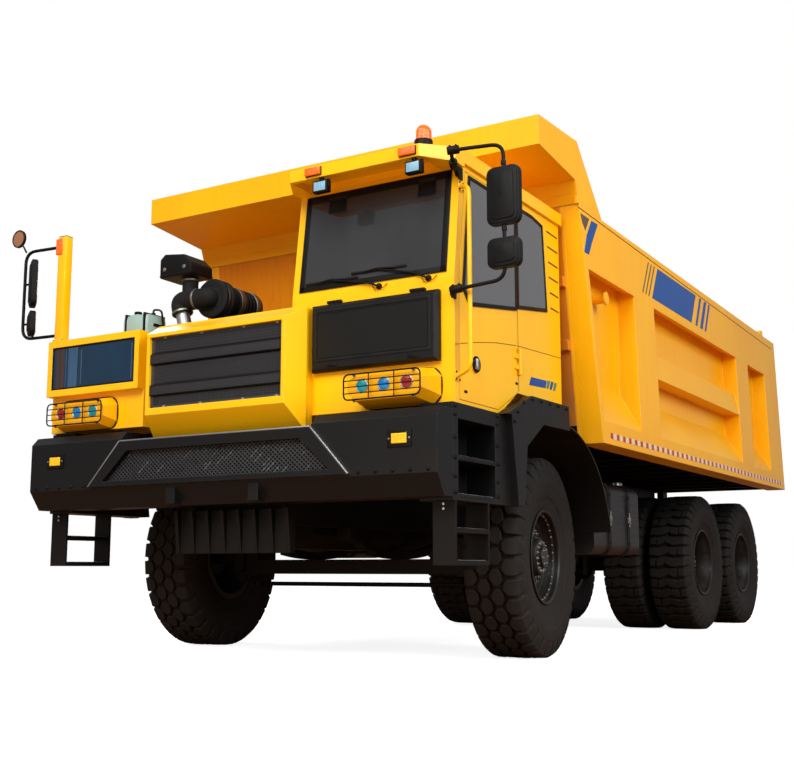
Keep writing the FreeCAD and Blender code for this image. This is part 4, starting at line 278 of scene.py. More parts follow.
# %% Effect: road dust
road_dust, given, end = effect_group(
    "road_dust", {"Top": 1.5, "Depth": 1.2, "Amount": 1.0, "Lying": 0.3}, {"Mask": "Float"},
)
height = one_axis(road_dust, wired(road_dust, "ShaderNodeTexCoord").outputs["Object"], "Z")
upward = one_axis(road_dust, wired(road_dust, "ShaderNodeNewGeometry").outputs["True Normal"], "Z")
below = sums(road_dust, "SUBTRACT", given["Top"], height)
below = sums(road_dust, "DIVIDE", below, given["Depth"], True)
lying = sums(road_dust, "MULTIPLY", sums(road_dust, "MAXIMUM", upward, 0.0), given["Lying"])
cloud = sums(road_dust, "MULTIPLY", noise(road_dust, 3.0, 6, rough=0.65), 1.5)
dusty = sums(road_dust, "MULTIPLY", sums(road_dust, "ADD", below, lying), cloud)
feed(road_dust, end, {"Mask": sums(road_dust, "MULTIPLY", dusty, given["Amount"], True)})
print("group:", road_dust.name)

# %% [markdown]
# Rain draws faint streaks down the sides of the bed and the cab. A noise that is stretched
# tall and thin gives them, and the same group carries the slow change of tone that large
# painted sheets show.

# %% Effect: streaks and tone
rain_streaks, given, end = effect_group(
    "rain_streaks", {"Scale": 5.0, "Amount": 1.0}, {"Streak": "Float", "Tone": "Float"},
)
tall_and_thin = (3.2, 3.2, 0.22)
streak = sums(rain_streaks, "SUBTRACT", noise(rain_streaks, given["Scale"], 5, tall_and_thin, 0.6), 0.48)
streak = sums(rain_streaks, "MULTIPLY", streak, 3.4, True)
feed(rain_streaks, end, {
    "Streak": sums(rain_streaks, "MULTIPLY", streak, given["Amount"], True),
    "Tone": noise(rain_streaks, 0.9, 3),
})
print("group:", rain_streaks.name)

# %% [markdown]
# Sprayed paint has an orange peel, and a casting and a moulded part have a pebbled grain. Both
# are heights for a Bump node: fine noise, and the cells of a Voronoi texture on top of it.

# %% Effect: surface grain
surface_grain, given, end = effect_group("surface_grain", {"Scale": 160.0, "Pebble": 0.5}, {"Height": "Float"})
spots = wired(surface_grain, "ShaderNodeTexCoord").outputs["Object"]
cells = wired(surface_grain, "ShaderNodeTexVoronoi", {"Vector": spots, "Scale": given["Scale"]})
pebble = sums(surface_grain, "MULTIPLY", cells.outputs["Distance"], given["Pebble"])
fine = noise(surface_grain, given["Scale"], 3)
feed(surface_grain, end, {"Height": sums(surface_grain, "ADD", fine, pebble)})
print("group:", surface_grain.name)

# %% [markdown]
# A material places the groups, mixes their masks into colour and roughness, and ends in a
# Bump node. Those three moves are shared by every finish, so each has a helper.

# %% Material helpers
mix_first, mix_second, mix_result = 6, 7, 2
road_grey = "5F564B"


def place_group(tree, group, **values):
    """Outputs of a group that is placed in a material with its own values."""
    return wired(tree, "ShaderNodeGroup", values, node_tree=group).outputs


def tint(tree, share, first, second):
    """Colour mix; each side is a colour code or a colour socket."""
    first, second = (hex_colour(c) if isinstance(c, str) else c for c in (first, second))
    inputs = {"Factor": share, mix_first: first, mix_second: second}
    return wired(tree, "ShaderNodeMix", inputs, data_type="RGBA").outputs[mix_result]


def relief(tree, shader, height, strength, distance, **normal):
    """Bump node on the shader's normal."""
    inputs = {"Height": height, "Strength": strength, "Distance": distance, **normal}
    feed(tree, shader, {"Normal": wired(tree, "ShaderNodeBump", inputs).outputs[0]})


print("material helpers ready")

# %% [markdown]
# One function builds a coated finish from these groups: a base colour that drifts in tone, a
# paler or darker edge of rubbed paint and painted highlight, streaks, dust, and a grain in its
# bump. Paint, plastic and rubber differ only in the values that they hand to it.

# %% Coated finishes
def coated(name, colour, shade, edge, rough=0.35, coat=0.0, wear_and_glint=0.6, radius=0.008, dust=0.5,
           dust_top=1.4, streaks=0.3, grain=160, bump=0.05, pebble=0.3, lying=0.3, shine=0.5):
    """Painted or moulded finish: tone drift, streaks, dust, edges of rubbed paint and painted highlight, and
    grain.
    """
    made, tree, shader = new_finish(name)
    drift = place_group(tree, rain_streaks, Amount=streaks)
    edges = place_group(tree, worn_edge, Radius=radius, Amount=wear_and_glint)
    low = place_group(tree, road_dust, Top=dust_top, Amount=dust, Lying=lying)
    skin = place_group(tree, surface_grain, Scale=grain, Pebble=pebble)
    base = tint(tree, drift["Tone"], colour, shade)
    dusted = tint(tree, low["Mask"], tint(tree, drift["Streak"], base, shade), road_grey)
    rougher = sums(tree, "ADD", rough, sums(tree, "MULTIPLY", low["Mask"], 0.45))
    feed(tree, shader, {
        "Base Color": tint(tree, edges["Mask"], dusted, edge),
        "Roughness": sums(tree, "ADD", rougher, sums(tree, "MULTIPLY", drift["Streak"], 0.12), True),
        "Coat Weight": coat, "Coat Roughness": 0.12, "Specular IOR Level": shine,
    })
    relief(tree, shader, skin["Height"], bump, 0.002, Normal=edges["Normal"])
    return made


# The third colour of each finish tints its edges: rubbed paint and a painted highlight.
cab_yellow = coated("cab_yellow_paint", "FFCC00", "FBB800", "FFE08A", 0.34, coat=0.18, wear_and_glint=0.40,
                    shine=0.28, dust=0.25, dust_top=2.1, streaks=0.25)
bed_yellow = coated("bed_yellow_paint", "FFC400", "F8AA00", "FFDC8C", 0.42, coat=0.10, wear_and_glint=0.50,
                    shine=0.25, radius=0.010, dust=0.30, dust_top=2.2, streaks=0.45)
# The bed's front wall has a darker orange brown base than the bed: painted shade, for the shadow that lies
# between the cab and the bed's sides. Its heavier dust and streaks are dirt.
bed_front_shade_and_dirt = coated("bed_front_paint", "EC9600", "CC7400", "FFD080", 0.48, coat=0.05, wear_and_glint=0.40,
                   shine=0.20, radius=0.010, dust=0.45, dust_top=3.4, streaks=0.8)
bumper_black = coated("charcoal_paint", "101112", "0B0C0C", "44464A", 0.48, coat=0.03, wear_and_glint=0.5,
                      shine=0.20, dust=0.08, dust_top=1.5, streaks=0.2, grain=320, bump=0.10)
chassis_black = coated("chassis_paint", "070808", "040404", "26282B", 0.55, wear_and_glint=0.4, shine=0.18,
                       dust=0.10, dust_top=1.3, streaks=0.2, grain=240, bump=0.12)
trim_plastic = coated("moulded_trim", "090A0B", "060607", "26282B", 0.50, wear_and_glint=0.4, shine=0.16,
                      radius=0.004, dust=0.15, dust_top=1.2, streaks=0.1, grain=520, bump=0.16, pebble=0.8)
tyre_rubber = coated("tyre_rubber", "1B1C1D", "121314", "38393C", 0.72, wear_and_glint=0.5, shine=0.18, radius=0.012,
                     dust=0.12, dust_top=1.9, streaks=0.25, grain=260, bump=0.25, pebble=0.6, lying=0.1)
rim_black = coated("rim_paint", "0E0F11", "08090A", "5A5C60", 0.40, coat=0.08, wear_and_glint=0.6, shine=0.3,
                   radius=0.006, dust=0.08, dust_top=1.6, streaks=0.2)
lamp_body = coated("lamp_yellow_paint", "FFC000", "F4A800", "FFE29A", 0.35, coat=0.15, wear_and_glint=0.4,
                   shine=0.28, dust=0.1)
coolant_plastic = coated("coolant_plastic", "A3C0BE", "8FAEAC", "CBDDDB", 0.38, wear_and_glint=0.3, radius=0.012,
                         dust=0.1, streaks=0.3, grain=90, bump=0.06)
grille_grey = coated("grille_paint", "36383C", "2A2C30", "74767A", 0.48, wear_and_glint=0.4, shine=0.4, radius=0.002,
                     dust=0.05, streaks=0.1, grain=400, bump=0.1)
canvas_grey = coated("seat_fabric", "2B2D31", "222427", "44474C", 0.85, wear_and_glint=0.2, dust=0.0, streaks=0.0,
                     grain=900, bump=0.35, pebble=1.0)
# Dark brown for pressed lines, where it paints the shade in the crease, and for seams and gaps.
seam_brown = coated("seam_brown", "8A5A00", "6E4600", "8A5A00", 0.5, wear_and_glint=0.0, dust=0.0, streaks=0.1, shine=0.2)
print("finishes so far:", len(bpy.data.materials))

# %% [markdown]
# Bare metal is different: its colour comes from reflection, so the detail goes into
# roughness. The fuel tank is brushed along its length and the hoist rods are polished
# chrome with a few faint rings.

# %% Bare metals
def bare_metal(name, colour, dark, rough, stretch, scale, bump, dust=0.25):
    """Metal whose fine lines run one way, with dust low down."""
    made, tree, shader = new_finish(name)
    lines = noise(tree, scale, 4, stretch, 0.7)
    low = place_group(tree, road_dust, Top=1.5, Amount=dust, Lying=0.15)
    edges = place_group(tree, worn_edge, Radius=0.006, Amount=0.5)
    rougher = sums(tree, "ADD", rough, sums(tree, "MULTIPLY", lines, 0.2))
    feed(tree, shader, {
        "Metallic": 1.0, "Base Color": tint(tree, low["Mask"], tint(tree, lines, colour, dark), "7C7468"),
        "Roughness": sums(tree, "ADD", rougher, sums(tree, "MULTIPLY", low["Mask"], 0.4), True),
    })
    relief(tree, shader, lines, bump, 0.001, Normal=edges["Normal"])
    return made


tank_metal = bare_metal("brushed_tank", "4C4E50", "2C2E30", 0.38, (40, 1, 40), 3.0, 0.25)
rod_chrome = bare_metal("hoist_chrome", "D9DBDD", "B4B7BA", 0.08, (2, 2, 14), 4.0, 0.03)
bolt_zinc = bare_metal("bolt_zinc", "A7A79F", "6F6E68", 0.35, (9, 9, 9), 6.0, 0.10)
edge_steel = bare_metal("bright_edge_steel", "C9CACB", "8B8D90", 0.32, (6, 6, 6), 4.0, 0.10, 0.05)
mirror_silver = bare_metal("mirror_silver", "DADCDE", "CCCED1", 0.02, (1, 1, 1), 1.0, 0.0, 0.0)
print("finishes so far:", len(bpy.data.materials))

# %% [markdown]
# Glass keeps a plain Metallic and Transmission Weight on the shader's own sockets. The cab's
# glass is tinted dark, so a deep base colour with half transmission shows the seat dimly and
# mirrors the sky; its grey is a little lighter than the tint, and the side panes paler still, as
# a painted reflection. Lamp lenses carry moulded ribs in their bump and a faint glow.

# %% Glass and lenses
def glass(name, light, deep, passing, rough, ribs=0.0, ribs_scale=0, glow=0.0, side_pane_reflection=None):
    """Tinted glass or lens, with ribs, a faint inner glow and a paler tone on side panes that paints their
    reflection.
    """
    made, tree, shader = new_finish(name)
    smear = noise(tree, 2.5, 5, (1, 1, 0.5), 0.65)
    base = tint(tree, smear, light, deep)
    if side_pane_reflection:
        true_face = wired(tree, "ShaderNodeNewGeometry").outputs["True Normal"]
        base = tint(tree, sums(tree, "ABSOLUTE", one_axis(tree, true_face, "X")), base, side_pane_reflection)
    feed(tree, shader, {
        "Base Color": base, "Roughness": sums(tree, "ADD", rough, sums(tree, "MULTIPLY", smear, 0.06)),
        "Transmission Weight": passing, "IOR": 1.45,
    })
    if glow:
        feed(tree, shader, {"Emission Color": hex_colour(light), "Emission Strength": glow})
    if ribs:
        spots = wired(tree, "ShaderNodeTexCoord").outputs["Object"]
        wave = wired(tree, "ShaderNodeTexWave", {"Vector": spots, "Scale": ribs_scale})
        relief(tree, shader, wave.outputs["Fac"], ribs, 0.002)
    return made


# The lighter grey, and the paler grey of the side panes, paint the glass's reflection.
glass_dark = glass("tinted_glass", "4A4C50", "2C2E31", 0.35, 0.03, side_pane_reflection="6E7175")
cabinet_pane = glass("dark_blue_pane", "0A3A5A", "05182C", 0.10, 0.04)
lens_fog = glass("lens_fog_yellow", "FFD21E", "E0A800", 0.10, 0.10, 0.3, 50, 0.20)
lens_clear = glass("lens_clear", "A8D4E8", "7FB4D0", 0.45, 0.04, 0.3, 45, 0.1)
lens_blue = glass("lens_blue", "1B8FD0", "0E5FA8", 0.10, 0.06, 0.3, 45, 0.12)
lens_teal = glass("lens_teal", "15A0A8", "0B7C8C", 0.10, 0.06, 0.3, 45, 0.12)
lens_red = glass("lens_red", "B02010", "7C1206", 0.08, 0.08, 0.4, 50, 0.08)
lens_amber = glass("lens_amber", "FF7A10", "EE5A00", 0.12, 0.08, 0.4, 50, 0.15)
print("finishes so far:", len(bpy.data.materials))

# %% [markdown]
# # Making pieces
# Pieces that don't repeat are built in bmesh. A helper finishes each one the same way: it
# welds the doubles, points the faces outwards, smooths by angle, and lets the piece ride on
# its body.

# %% Finish a piece
def piece_from(name, bm, finishes, body="truck", stands_for=(), smooth=38):
    """Object from a bmesh: welded, smoothed by angle and riding on a body."""
    bmesh.ops.remove_doubles(bm, verts=bm.verts, dist=0.00002)
    bmesh.ops.recalc_face_normals(bm, faces=bm.faces)
    mesh = plain_mesh(bm, name)
    for finish in finishes:
        mesh.materials.append(finish)
    mesh.shade_smooth()
    mesh.set_sharp_from_angle(angle=math.radians(smooth))
    made = bpy.data.objects.new(name, mesh)
    scene.collection.objects.link(made)
    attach(made, body)
    if stands_for:
        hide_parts(*stands_for)
    print(name, "faces", len(mesh.polygons))
    return made


def plain_mesh(bm, name):
    """Mesh made of a bmesh, which is freed."""
    mesh = bpy.data.meshes.new(name)
    bm.to_mesh(mesh)
    bm.free()
    return mesh


print("finishing helper ready")

# %% [markdown]
# Flat and boxy shapes are a box, or an outline that is pushed along an axis. Their edges are
# eased with a bevel, because a razor edge catches no light.

# %% Boxes and extruded outlines
def faced(bm, loops, finish=0):
    """Faces on loops of points, with their finish."""
    faces = [bm.faces.new(loop) for loop in loops]
    for face in faces:
        face.material_index = finish
    return faces


def bridge(bm, ring, other, finish=0):
    """Band of faces between two rings that have as many points."""
    return faced(bm, list(zip(ring, ring[1:] + ring[:1], other[1:] + other[:1], other)), finish)


def lids(bm, rings, finish=0):
    """Faces that close the first and the last ring."""
    return faced(bm, [rings[0], rings[-1][::-1]], finish)


def eased(bm, faces, ease):
    """Bevel on all edges of the faces, in millimetres."""
    if ease:
        edges = list({edge for face in faces for edge in face.edges})
        bmesh.ops.bevel(bm, geom=edges, offset=ease / 1000, segments=2, affect="EDGES",
                        profile=0.6, material=-1)


def extruded(bm, outline, axis, low, high, ease=0.0, finish=0):
    """Outline pushed along an axis; its points are (y, z), (x, z) or (x, y) in millimetres."""
    place = {
        "x": lambda a, b, d: at(d, a, b),
        "y": lambda a, b, d: at(a, d, b),
        "z": lambda a, b, d: at(a, b, d),
    }[axis]
    rings = [[bm.verts.new(place(a, b, depth)) for a, b in outline] for depth in (low, high)]
    foot, head = rings
    sides = zip(foot, head, head[1:] + head[:1], foot[1:] + foot[:1])
    eased(bm, lids(bm, rings, finish) + faced(bm, sides, finish), ease)


def block(bm, x, y, z, ease=0.0, finish=0):
    """Box between two values on each axis, in millimetres, with eased edges."""
    corners = [bm.verts.new(at(a, b, c)) for a in x for b in y for c in z]
    loops = ((0, 1, 3, 2), (4, 6, 7, 5), (0, 4, 5, 1), (2, 3, 7, 6), (0, 2, 6, 4), (1, 5, 7, 3))
    eased(bm, faced(bm, [[corners[i] for i in loop] for loop in loops], finish), ease)


print("box helpers ready")

# %% [markdown]
# Round shapes are a section turned about an axis, or a circle swept along a line whose corners
# are rounded. A turned shape is drawn along x and stood at its place by a matrix.

# %% Turned and swept shapes
def turned(bm, outline, steps, place, finish=0):
    """Closed outline of (x, radius) in millimetres turned about the x axis, then placed."""
    rings = []
    for index in range(steps):
        angle = 2 * math.pi * index / steps
        c, s = math.cos(angle) / 1000, math.sin(angle) / 1000
        rings.append([bm.verts.new(place @ Vector((x / 1000, r * c, r * s))) for x, r in outline])
    for index in range(steps):
        here, after = rings[index], rings[(index + 1) % steps]
        for i in range(len(outline)):
            j = (i + 1) % len(outline)
            start_on_axis, end_on_axis = outline[i][1] == 0, outline[j][1] == 0
            if start_on_axis and end_on_axis:
                continue
            spots = [here[i], here[j], after[j], after[i]]
            if start_on_axis:
                spots = [here[i], here[j], after[j]]
            elif end_on_axis:
                spots = [here[i], here[j], after[i]]
            bm.faces.new(spots).material_index = finish


def bent_line(points, bend, steps=6):
    """Points of a bent bar in metres: its corners, in millimetres, are rounded by a bend."""
    spots = [at(*p) for p in points]
    line = [spots[0]]
    for before, corner, after in zip(spots, spots[1:], spots[2:]):
        reach = min(bend / 1000, (corner - before).length * 0.48, (after - corner).length * 0.48)
        start = corner + (before - corner).normalized() * reach
        stop = corner + (after - corner).normalized() * reach
        for k in range(steps + 1):
            t = k / steps
            line.append(start * (1 - t) ** 2 + corner * 2 * t * (1 - t) + stop * t ** 2)
    return line + [spots[-1]]


def swept(bm, line, radius, steps=12, finish=0, closed=False):
    """Round bar along a line of points in metres; the radius is in millimetres."""
    rings, side = [], None
    count = len(line)
    for index, spot in enumerate(line):
        before = line[index - 1] if index or closed else spot
        after = line[(index + 1) % count] if index < count - 1 or closed else spot
        run = (after - before).normalized()
        if side is None:
            side = run.orthogonal().normalized()
        side = (side - run * side.dot(run)).normalized()
        other = run.cross(side)
        angles = [2 * math.pi * k / steps for k in range(steps)]
        offsets = [(side * math.cos(angle) + other * math.sin(angle)) * radius / 1000 for angle in angles]
        rings.append([bm.verts.new(spot + offset) for offset in offsets])
    if closed:
        rings.append(rings[0])
    else:
        lids(bm, rings, finish)
    for here, after in zip(rings, rings[1:]):
        bridge(bm, here, after, finish)


def bar(bm, points, radius, bend=60, steps=12, finish=0):
    """Round bar with rounded bends through points in millimetres."""
    swept(bm, bent_line(points, bend), radius, steps, finish)


def facing(place, axis):
    """Matrix that stands a turned shape at a point in millimetres, with its x along an axis."""
    turn = Vector((1, 0, 0)).rotation_difference(Vector(axis)).to_matrix().to_4x4()
    return Matrix.Translation(at(*place)) @ turn


def screw(bm, stand, radius, height, corners=6, finish=0, foot=0):
    """Low head of a screw or a nut, a little narrower at its top."""
    turned(bm, [(foot, 0), (foot, radius), (height, radius - 1), (height, 0)], corners, stand, finish)


print("turned and swept helpers ready")

# %% [markdown]
# Whatever repeats is made by Geometry Nodes: tread blocks and wheel nuts round an axis, tape
# along a line, holes over a plate, bolt heads on listed places. One helper makes a tree with
# named inputs, a second ends it, and a third runs it on a seed mesh and keeps the plain result.

# %% Geometry Nodes tools
kinds = {"INT": "Int", "VALUE": "Float", "VECTOR": "Vector", "MATERIAL": "Material"}


def repeat_tree(name, inputs):
    """Tree that takes a seed, named inputs and a finish; returns it with its given sockets."""
    tree = bpy.data.node_groups.new(name, "GeometryNodeTree")
    tree.interface.new_socket("Geometry", in_out="INPUT", socket_type="NodeSocketGeometry")
    for label, kind in {**inputs, "Finish": "MATERIAL"}.items():
        tree.interface.new_socket(label, in_out="INPUT", socket_type=f"NodeSocket{kinds[kind]}")
    tree.interface.new_socket("Geometry", in_out="OUTPUT", socket_type="NodeSocketGeometry")
    return tree, tree.nodes.new("NodeGroupInput").outputs


def close_tree(tree, given, spots, shape, **turn):
    """Puts a shape on each point, and ends a tree in Realize Instances and Set Material."""
    inputs = {"Points": spots, "Instance": shape, **turn}
    copies = wired(tree, "GeometryNodeInstanceOnPoints", inputs)
    real = wired(tree, "GeometryNodeRealizeInstances", {"Geometry": copies.outputs[0]})
    coat = wired(tree, "GeometryNodeSetMaterial", {"Geometry": real.outputs[0], "Material": given["Finish"]})
    wired(tree, "NodeGroupOutput", {"Geometry": coat.outputs[0]})
    print("tree:", tree.name)


def grown(seed, tree, **values):
    """Plain mesh that a tree makes from a seed bmesh and its named inputs."""
    holder = bpy.data.objects.new("seed", plain_mesh(seed, "seed"))
    scene.collection.objects.link(holder)
    run = holder.modifiers.new("repeat", "NODES")
    run.node_group = tree
    for item in tree.interface.items_tree:
        label = item.name.replace(" ", "_")
        if item.in_out == "INPUT" and label in values:
            run[item.identifier] = values[label]
    seen = holder.evaluated_get(bpy.context.evaluated_depsgraph_get())
    made = bpy.data.meshes.new_from_object(seen)
    holder.modifiers.clear()
    bpy.data.objects.remove(holder)
    return made


def joined(bm, mesh, place=Matrix(), finish=None):
    """Adds a plain mesh to a bmesh, moved by a matrix; a mirrored place is allowed."""
    copy = mesh.copy()
    copy.transform(place)
    if finish is not None:
        copy.polygons.foreach_set("material_index", [finish] * len(copy.polygons))
    bm.from_mesh(copy)
    bpy.data.meshes.remove(copy)


print("kinds of input:", list(kinds))

# %% [markdown]
# The first tree turns the seed about the x axis in equal steps, and the second one repeats it
# along a line. Neither needs more than a row of points to stand its copies on.

# %% Round an axis and along a line
round_tree, given = repeat_tree("round_an_axis", {"Count": "INT", "Start": "VALUE"})
number = wired(round_tree, "GeometryNodeInputIndex").outputs[0]
step = sums(round_tree, "DIVIDE", 2 * math.pi, given["Count"])
angle = sums(round_tree, "ADD", sums(round_tree, "MULTIPLY", step, number), given["Start"])
turn_each = wired(round_tree, "ShaderNodeCombineXYZ", {"X": angle}).outputs[0]
spots = wired(round_tree, "GeometryNodePoints", {"Count": given["Count"]}).outputs[0]
close_tree(round_tree, given, spots, given["Geometry"], Rotation=turn_each)

row_tree, given = repeat_tree("along_a_line", {"Count": "INT", "Step": "VECTOR"})
spots = wired(row_tree, "GeometryNodeMeshLine", {"Count": given["Count"], "Offset": given["Step"]}).outputs[0]
close_tree(row_tree, given, spots, given["Geometry"])

# %% [markdown]
# A perforated plate is one cell, a square with a hole, laid on a grid. The tree drops the
# cells that fall outside a trapezoid, so the same tree serves the grille and the bumper.

# %% Plates with holes
plate_tree, given = repeat_tree("perforated_plate", {
    "Columns": "INT", "Rows": "INT", "Pitch X": "VALUE", "Pitch Z": "VALUE",
    "Top Half": "VALUE", "Foot Half": "VALUE",
})
wide, tall = (
    sums(plate_tree, "MULTIPLY", given[pitch], sums(plate_tree, "SUBTRACT", given[count], 1))
    for pitch, count in (("Pitch X", "Columns"), ("Pitch Z", "Rows"))
)
grid = wired(plate_tree, "GeometryNodeMeshGrid", {
    "Size X": wide, "Size Y": tall, "Vertices X": given["Columns"], "Vertices Y": given["Rows"],
}).outputs[0]
where = wired(plate_tree, "GeometryNodeInputPosition").outputs[0]
rise = sums(plate_tree, "DIVIDE", one_axis(plate_tree, where, "Y"), tall)
rise = sums(plate_tree, "ADD", rise, 0.5)
slim = sums(plate_tree, "SUBTRACT", given["Top Half"], given["Foot Half"])
limit = sums(plate_tree, "ADD", given["Foot Half"], sums(plate_tree, "MULTIPLY", slim, rise))
off_middle = sums(plate_tree, "ABSOLUTE", one_axis(plate_tree, where, "X"))
outside = sums(plate_tree, "GREATER_THAN", off_middle, limit)
kept = wired(plate_tree, "GeometryNodeDeleteGeometry", {"Geometry": grid, "Selection": outside}, domain="POINT")
close_tree(plate_tree, given, kept.outputs[0], given["Geometry"])


def plate_of(cell, columns, rows, pitch_x, pitch_z, top_half, foot_half, finish):
    """Plate of cells in millimetres, within a trapezoid of two half widths."""
    return grown(
        cell, plate_tree, Columns=columns, Rows=rows, Pitch_X=pitch_x / 1000, Pitch_Z=pitch_z / 1000,
        Top_Half=top_half / 1000, Foot_Half=foot_half / 1000, Finish=finish,
    )


# %% [markdown]
# Bolt heads stand on listed points, and each point carries the way that its head looks, as an
# attribute that turns the copy. A head is a six sided cone on a low round washer.

# %% Bolt heads
bolt_tree, given = repeat_tree("bolt_heads", {"Across": "VALUE", "Height": "VALUE"})
both = bolt_tree.nodes.new("GeometryNodeJoinGeometry")
for corners, wide_share, high_share in ((6, 0.5, 1.0), (10, 0.72, 0.28)):
    radius = sums(bolt_tree, "MULTIPLY", given["Across"], wide_share)
    cone = wired(bolt_tree, "GeometryNodeMeshCone", {
        "Vertices": corners, "Radius Bottom": radius,
        "Radius Top": sums(bolt_tree, "MULTIPLY", radius, 0.86),
        "Depth": sums(bolt_tree, "MULTIPLY", given["Height"], high_share),
    })
    bolt_tree.links.new(cone.outputs["Mesh"], both.inputs[0])
look = wired(bolt_tree, "GeometryNodeInputNamedAttribute", {"Name": "look"}, data_type="FLOAT_VECTOR")
aim = wired(bolt_tree, "FunctionNodeAlignRotationToVector", {"Vector": look.outputs["Attribute"]}).outputs[0]
close_tree(bolt_tree, given, given["Geometry"], both.outputs[0], Rotation=aim)


def bolts(places, across, height, finish):
    """Plain mesh of bolt heads; places are (point in millimetres, way it looks)."""
    seed = bmesh.new()
    layer = seed.verts.layers.float_vector.new("look")
    for place, way in places:
        seed.verts.new(at(*place))[layer] = Vector(way)
    return grown(seed, bolt_tree, Across=across / 1000, Height=height / 1000, Finish=finish)


# %% [markdown]
# # Wheels
# The front tyres have a block tread: two rows of hexagons in the middle and tapered shoulder
# blocks that wrap on to the sidewall. The rear tyres have a coarser tread of long and short
# lugs. The casing is turned from its section, one pitch of blocks is built from listed stations,
# and the tree turns it round the axle. A block is a strip across the tread that narrows at its ends.

# %% Tyre casings and tread
front_radius, rear_radius, tread_depth = 820, 800, 42
blocks_round_front, lugs_round_rear = 32, 20


def casing(radius):
    """Half section of a tyre as (x, radius) points, mirrored to a closed outline."""
    floor_radius = radius - tread_depth
    half = [
        (0, floor_radius), (120, floor_radius - 1), (192, floor_radius - 10), (224, floor_radius - 38),
        (240, floor_radius - 76), (244, radius - 137), (248, radius - 140), (249, radius - 190),
        (246, radius - 235), (242, radius - 238), (236, radius - 285), (222, radius - 330),
        (216, radius - 332), (200, 420), (190, 394), (185, 380), (184, 366),
    ]
    return half + [(-x, r) for x, r in reversed(half[1:])]


def tread_strip(bm, radius, stations, shift=0.0, sign=1):
    """Tread block lofted across x; a station is (x, top radius, half length, sideways shift)."""
    rings = []
    for x, top, half, skew in stations:
        foot = min(top - 6, radius - tread_depth - 12 - max(0, abs(x) - 190) * 1.1)
        ring = []
        for height, reach in ((top, (-half, half)), (foot, (half + 7, -half - 7))):
            for length in reach:
                angle = (length + skew + shift) / radius
                spot = Vector((sign * x, height * math.cos(angle), height * math.sin(angle)))
                ring.append(bm.verts.new(spot / 1000))
        rings.append(ring)
    lids(bm, rings)
    for here, after in zip(rings, rings[1:]):
        bridge(bm, here, after)


def tyre_mesh(radius, casing_steps, count, strips):
    """Whole tyre about the x axis; strips are (stations, whether they sit half a pitch on)."""
    pitch = 2 * math.pi * radius / count
    seed = bmesh.new()
    for side, shift in ((1, 0.0), (-1, pitch / 2)):
        for stations, later in strips:
            placed = [(x, radius - drop, half, skew + later * pitch / 2) for x, drop, half, skew in stations]
            tread_strip(seed, radius, placed, shift, side)
    bm = bmesh.new()
    turned(bm, casing(radius), casing_steps, Matrix())
    joined(bm, grown(seed, round_tree, Count=count, Start=0.0, Finish=tyre_rubber), finish=0)
    bmesh.ops.recalc_face_normals(bm, faces=bm.faces)
    return plain_mesh(bm, "tyre")


front_tyre = tyre_mesh(front_radius, 96, blocks_round_front, (
    ([(4, 0, 24, 0), (30, 0, 62, 0), (72, 0, 66, 4), (98, 1, 26, 6)], False),
    ([(108, 1, 24, 6), (136, 2, 60, 6), (192, 5, 62, 8), (216, 22, 60, 8), (238, 84, 52, 8),
      (247, 130, 44, 8)], True),
))
rear_tyre = tyre_mesh(rear_radius, 80, lugs_round_rear, (
    ([(-22, 0, 30, -18), (24, 0, 44, -8), (70, 0, 46, 8), (104, 1, 40, 16), (150, 2, 42, 4),
      (200, 8, 44, 0), (222, 30, 42, 0), (240, 84, 36, 0), (247, 126, 30, 0)], False),
    ([(28, 0, 36, -10), (72, 0, 48, 0), (118, 1, 38, 10)], True),
    ([(132, 2, 40, 2), (196, 7, 44, 0), (222, 30, 42, 0), (240, 84, 36, 0), (247, 126, 30, 0)], True),
))
print("tyre faces:", len(front_tyre.polygons), len(rear_tyre.polygons))

# %% [markdown]
# Each wheel is placed by a matrix: the rear wheels straight, the front ones turned six
# degrees about their kingpins, as the truck stands. A tyre that carries load is flat where it
# meets the ground, so what would sink below the floor is pressed up to it.

# %% Place the tyres
steered_degrees, kingpin_x = 6, 1300
front_wheel_x, rear_wheel_x, dual_offset = 1630, 1200, 280
axle_y = {"front": 0, "middle": 5090, "rear": 6900}
sunk_share = math.cos(math.pi / 26)


def wheel_place(sign, axle, offset=0):
    """Matrix of a wheel whose outer face looks along +x before it is mirrored."""
    radius, across = (front_radius, front_wheel_x) if axle == "front" else (rear_radius, rear_wheel_x)
    mirror = Matrix.Scale(sign, 4, (1, 0, 0)) if sign < 0 else Matrix()
    hub = Matrix.Translation(at(sign * (across + offset), axle_y[axle], radius * sunk_share))
    if axle != "front":
        return hub @ mirror
    pin = Matrix.Translation(at(sign * kingpin_x, 0, 0))
    return pin @ Matrix.Rotation(math.radians(steered_degrees), 4, "Z") @ pin.inverted() @ hub @ mirror


for side, sign in both_sides:
    for axle, shape, offsets, tyres in (
        ("front", front_tyre, (0,), "tyre"), ("middle", rear_tyre, (dual_offset, -dual_offset), "tyres"),
        ("rear", rear_tyre, (dual_offset, -dual_offset), "tyres"),
    ):
        bm = bmesh.new()
        for offset in offsets:
            joined(bm, shape, wheel_place(sign, axle, offset))
        for vert in bm.verts:
            vert.co.z = max(vert.co.z, 0.0)
        piece_from(f"tread_{axle}_{side}", bm, [tyre_rubber], f"wheel_{axle}_{side}",
                   (f"{tyres}_{axle}_{side}",), 32)

# %% [markdown]
# The rims are turned from one section each: the rolled flange, the stepped well, the disc and
# the hub. The rear ones carry two tyres, so their disc sits deep. Nuts round the disc and the
# hub come from the same tree that laid the tread.

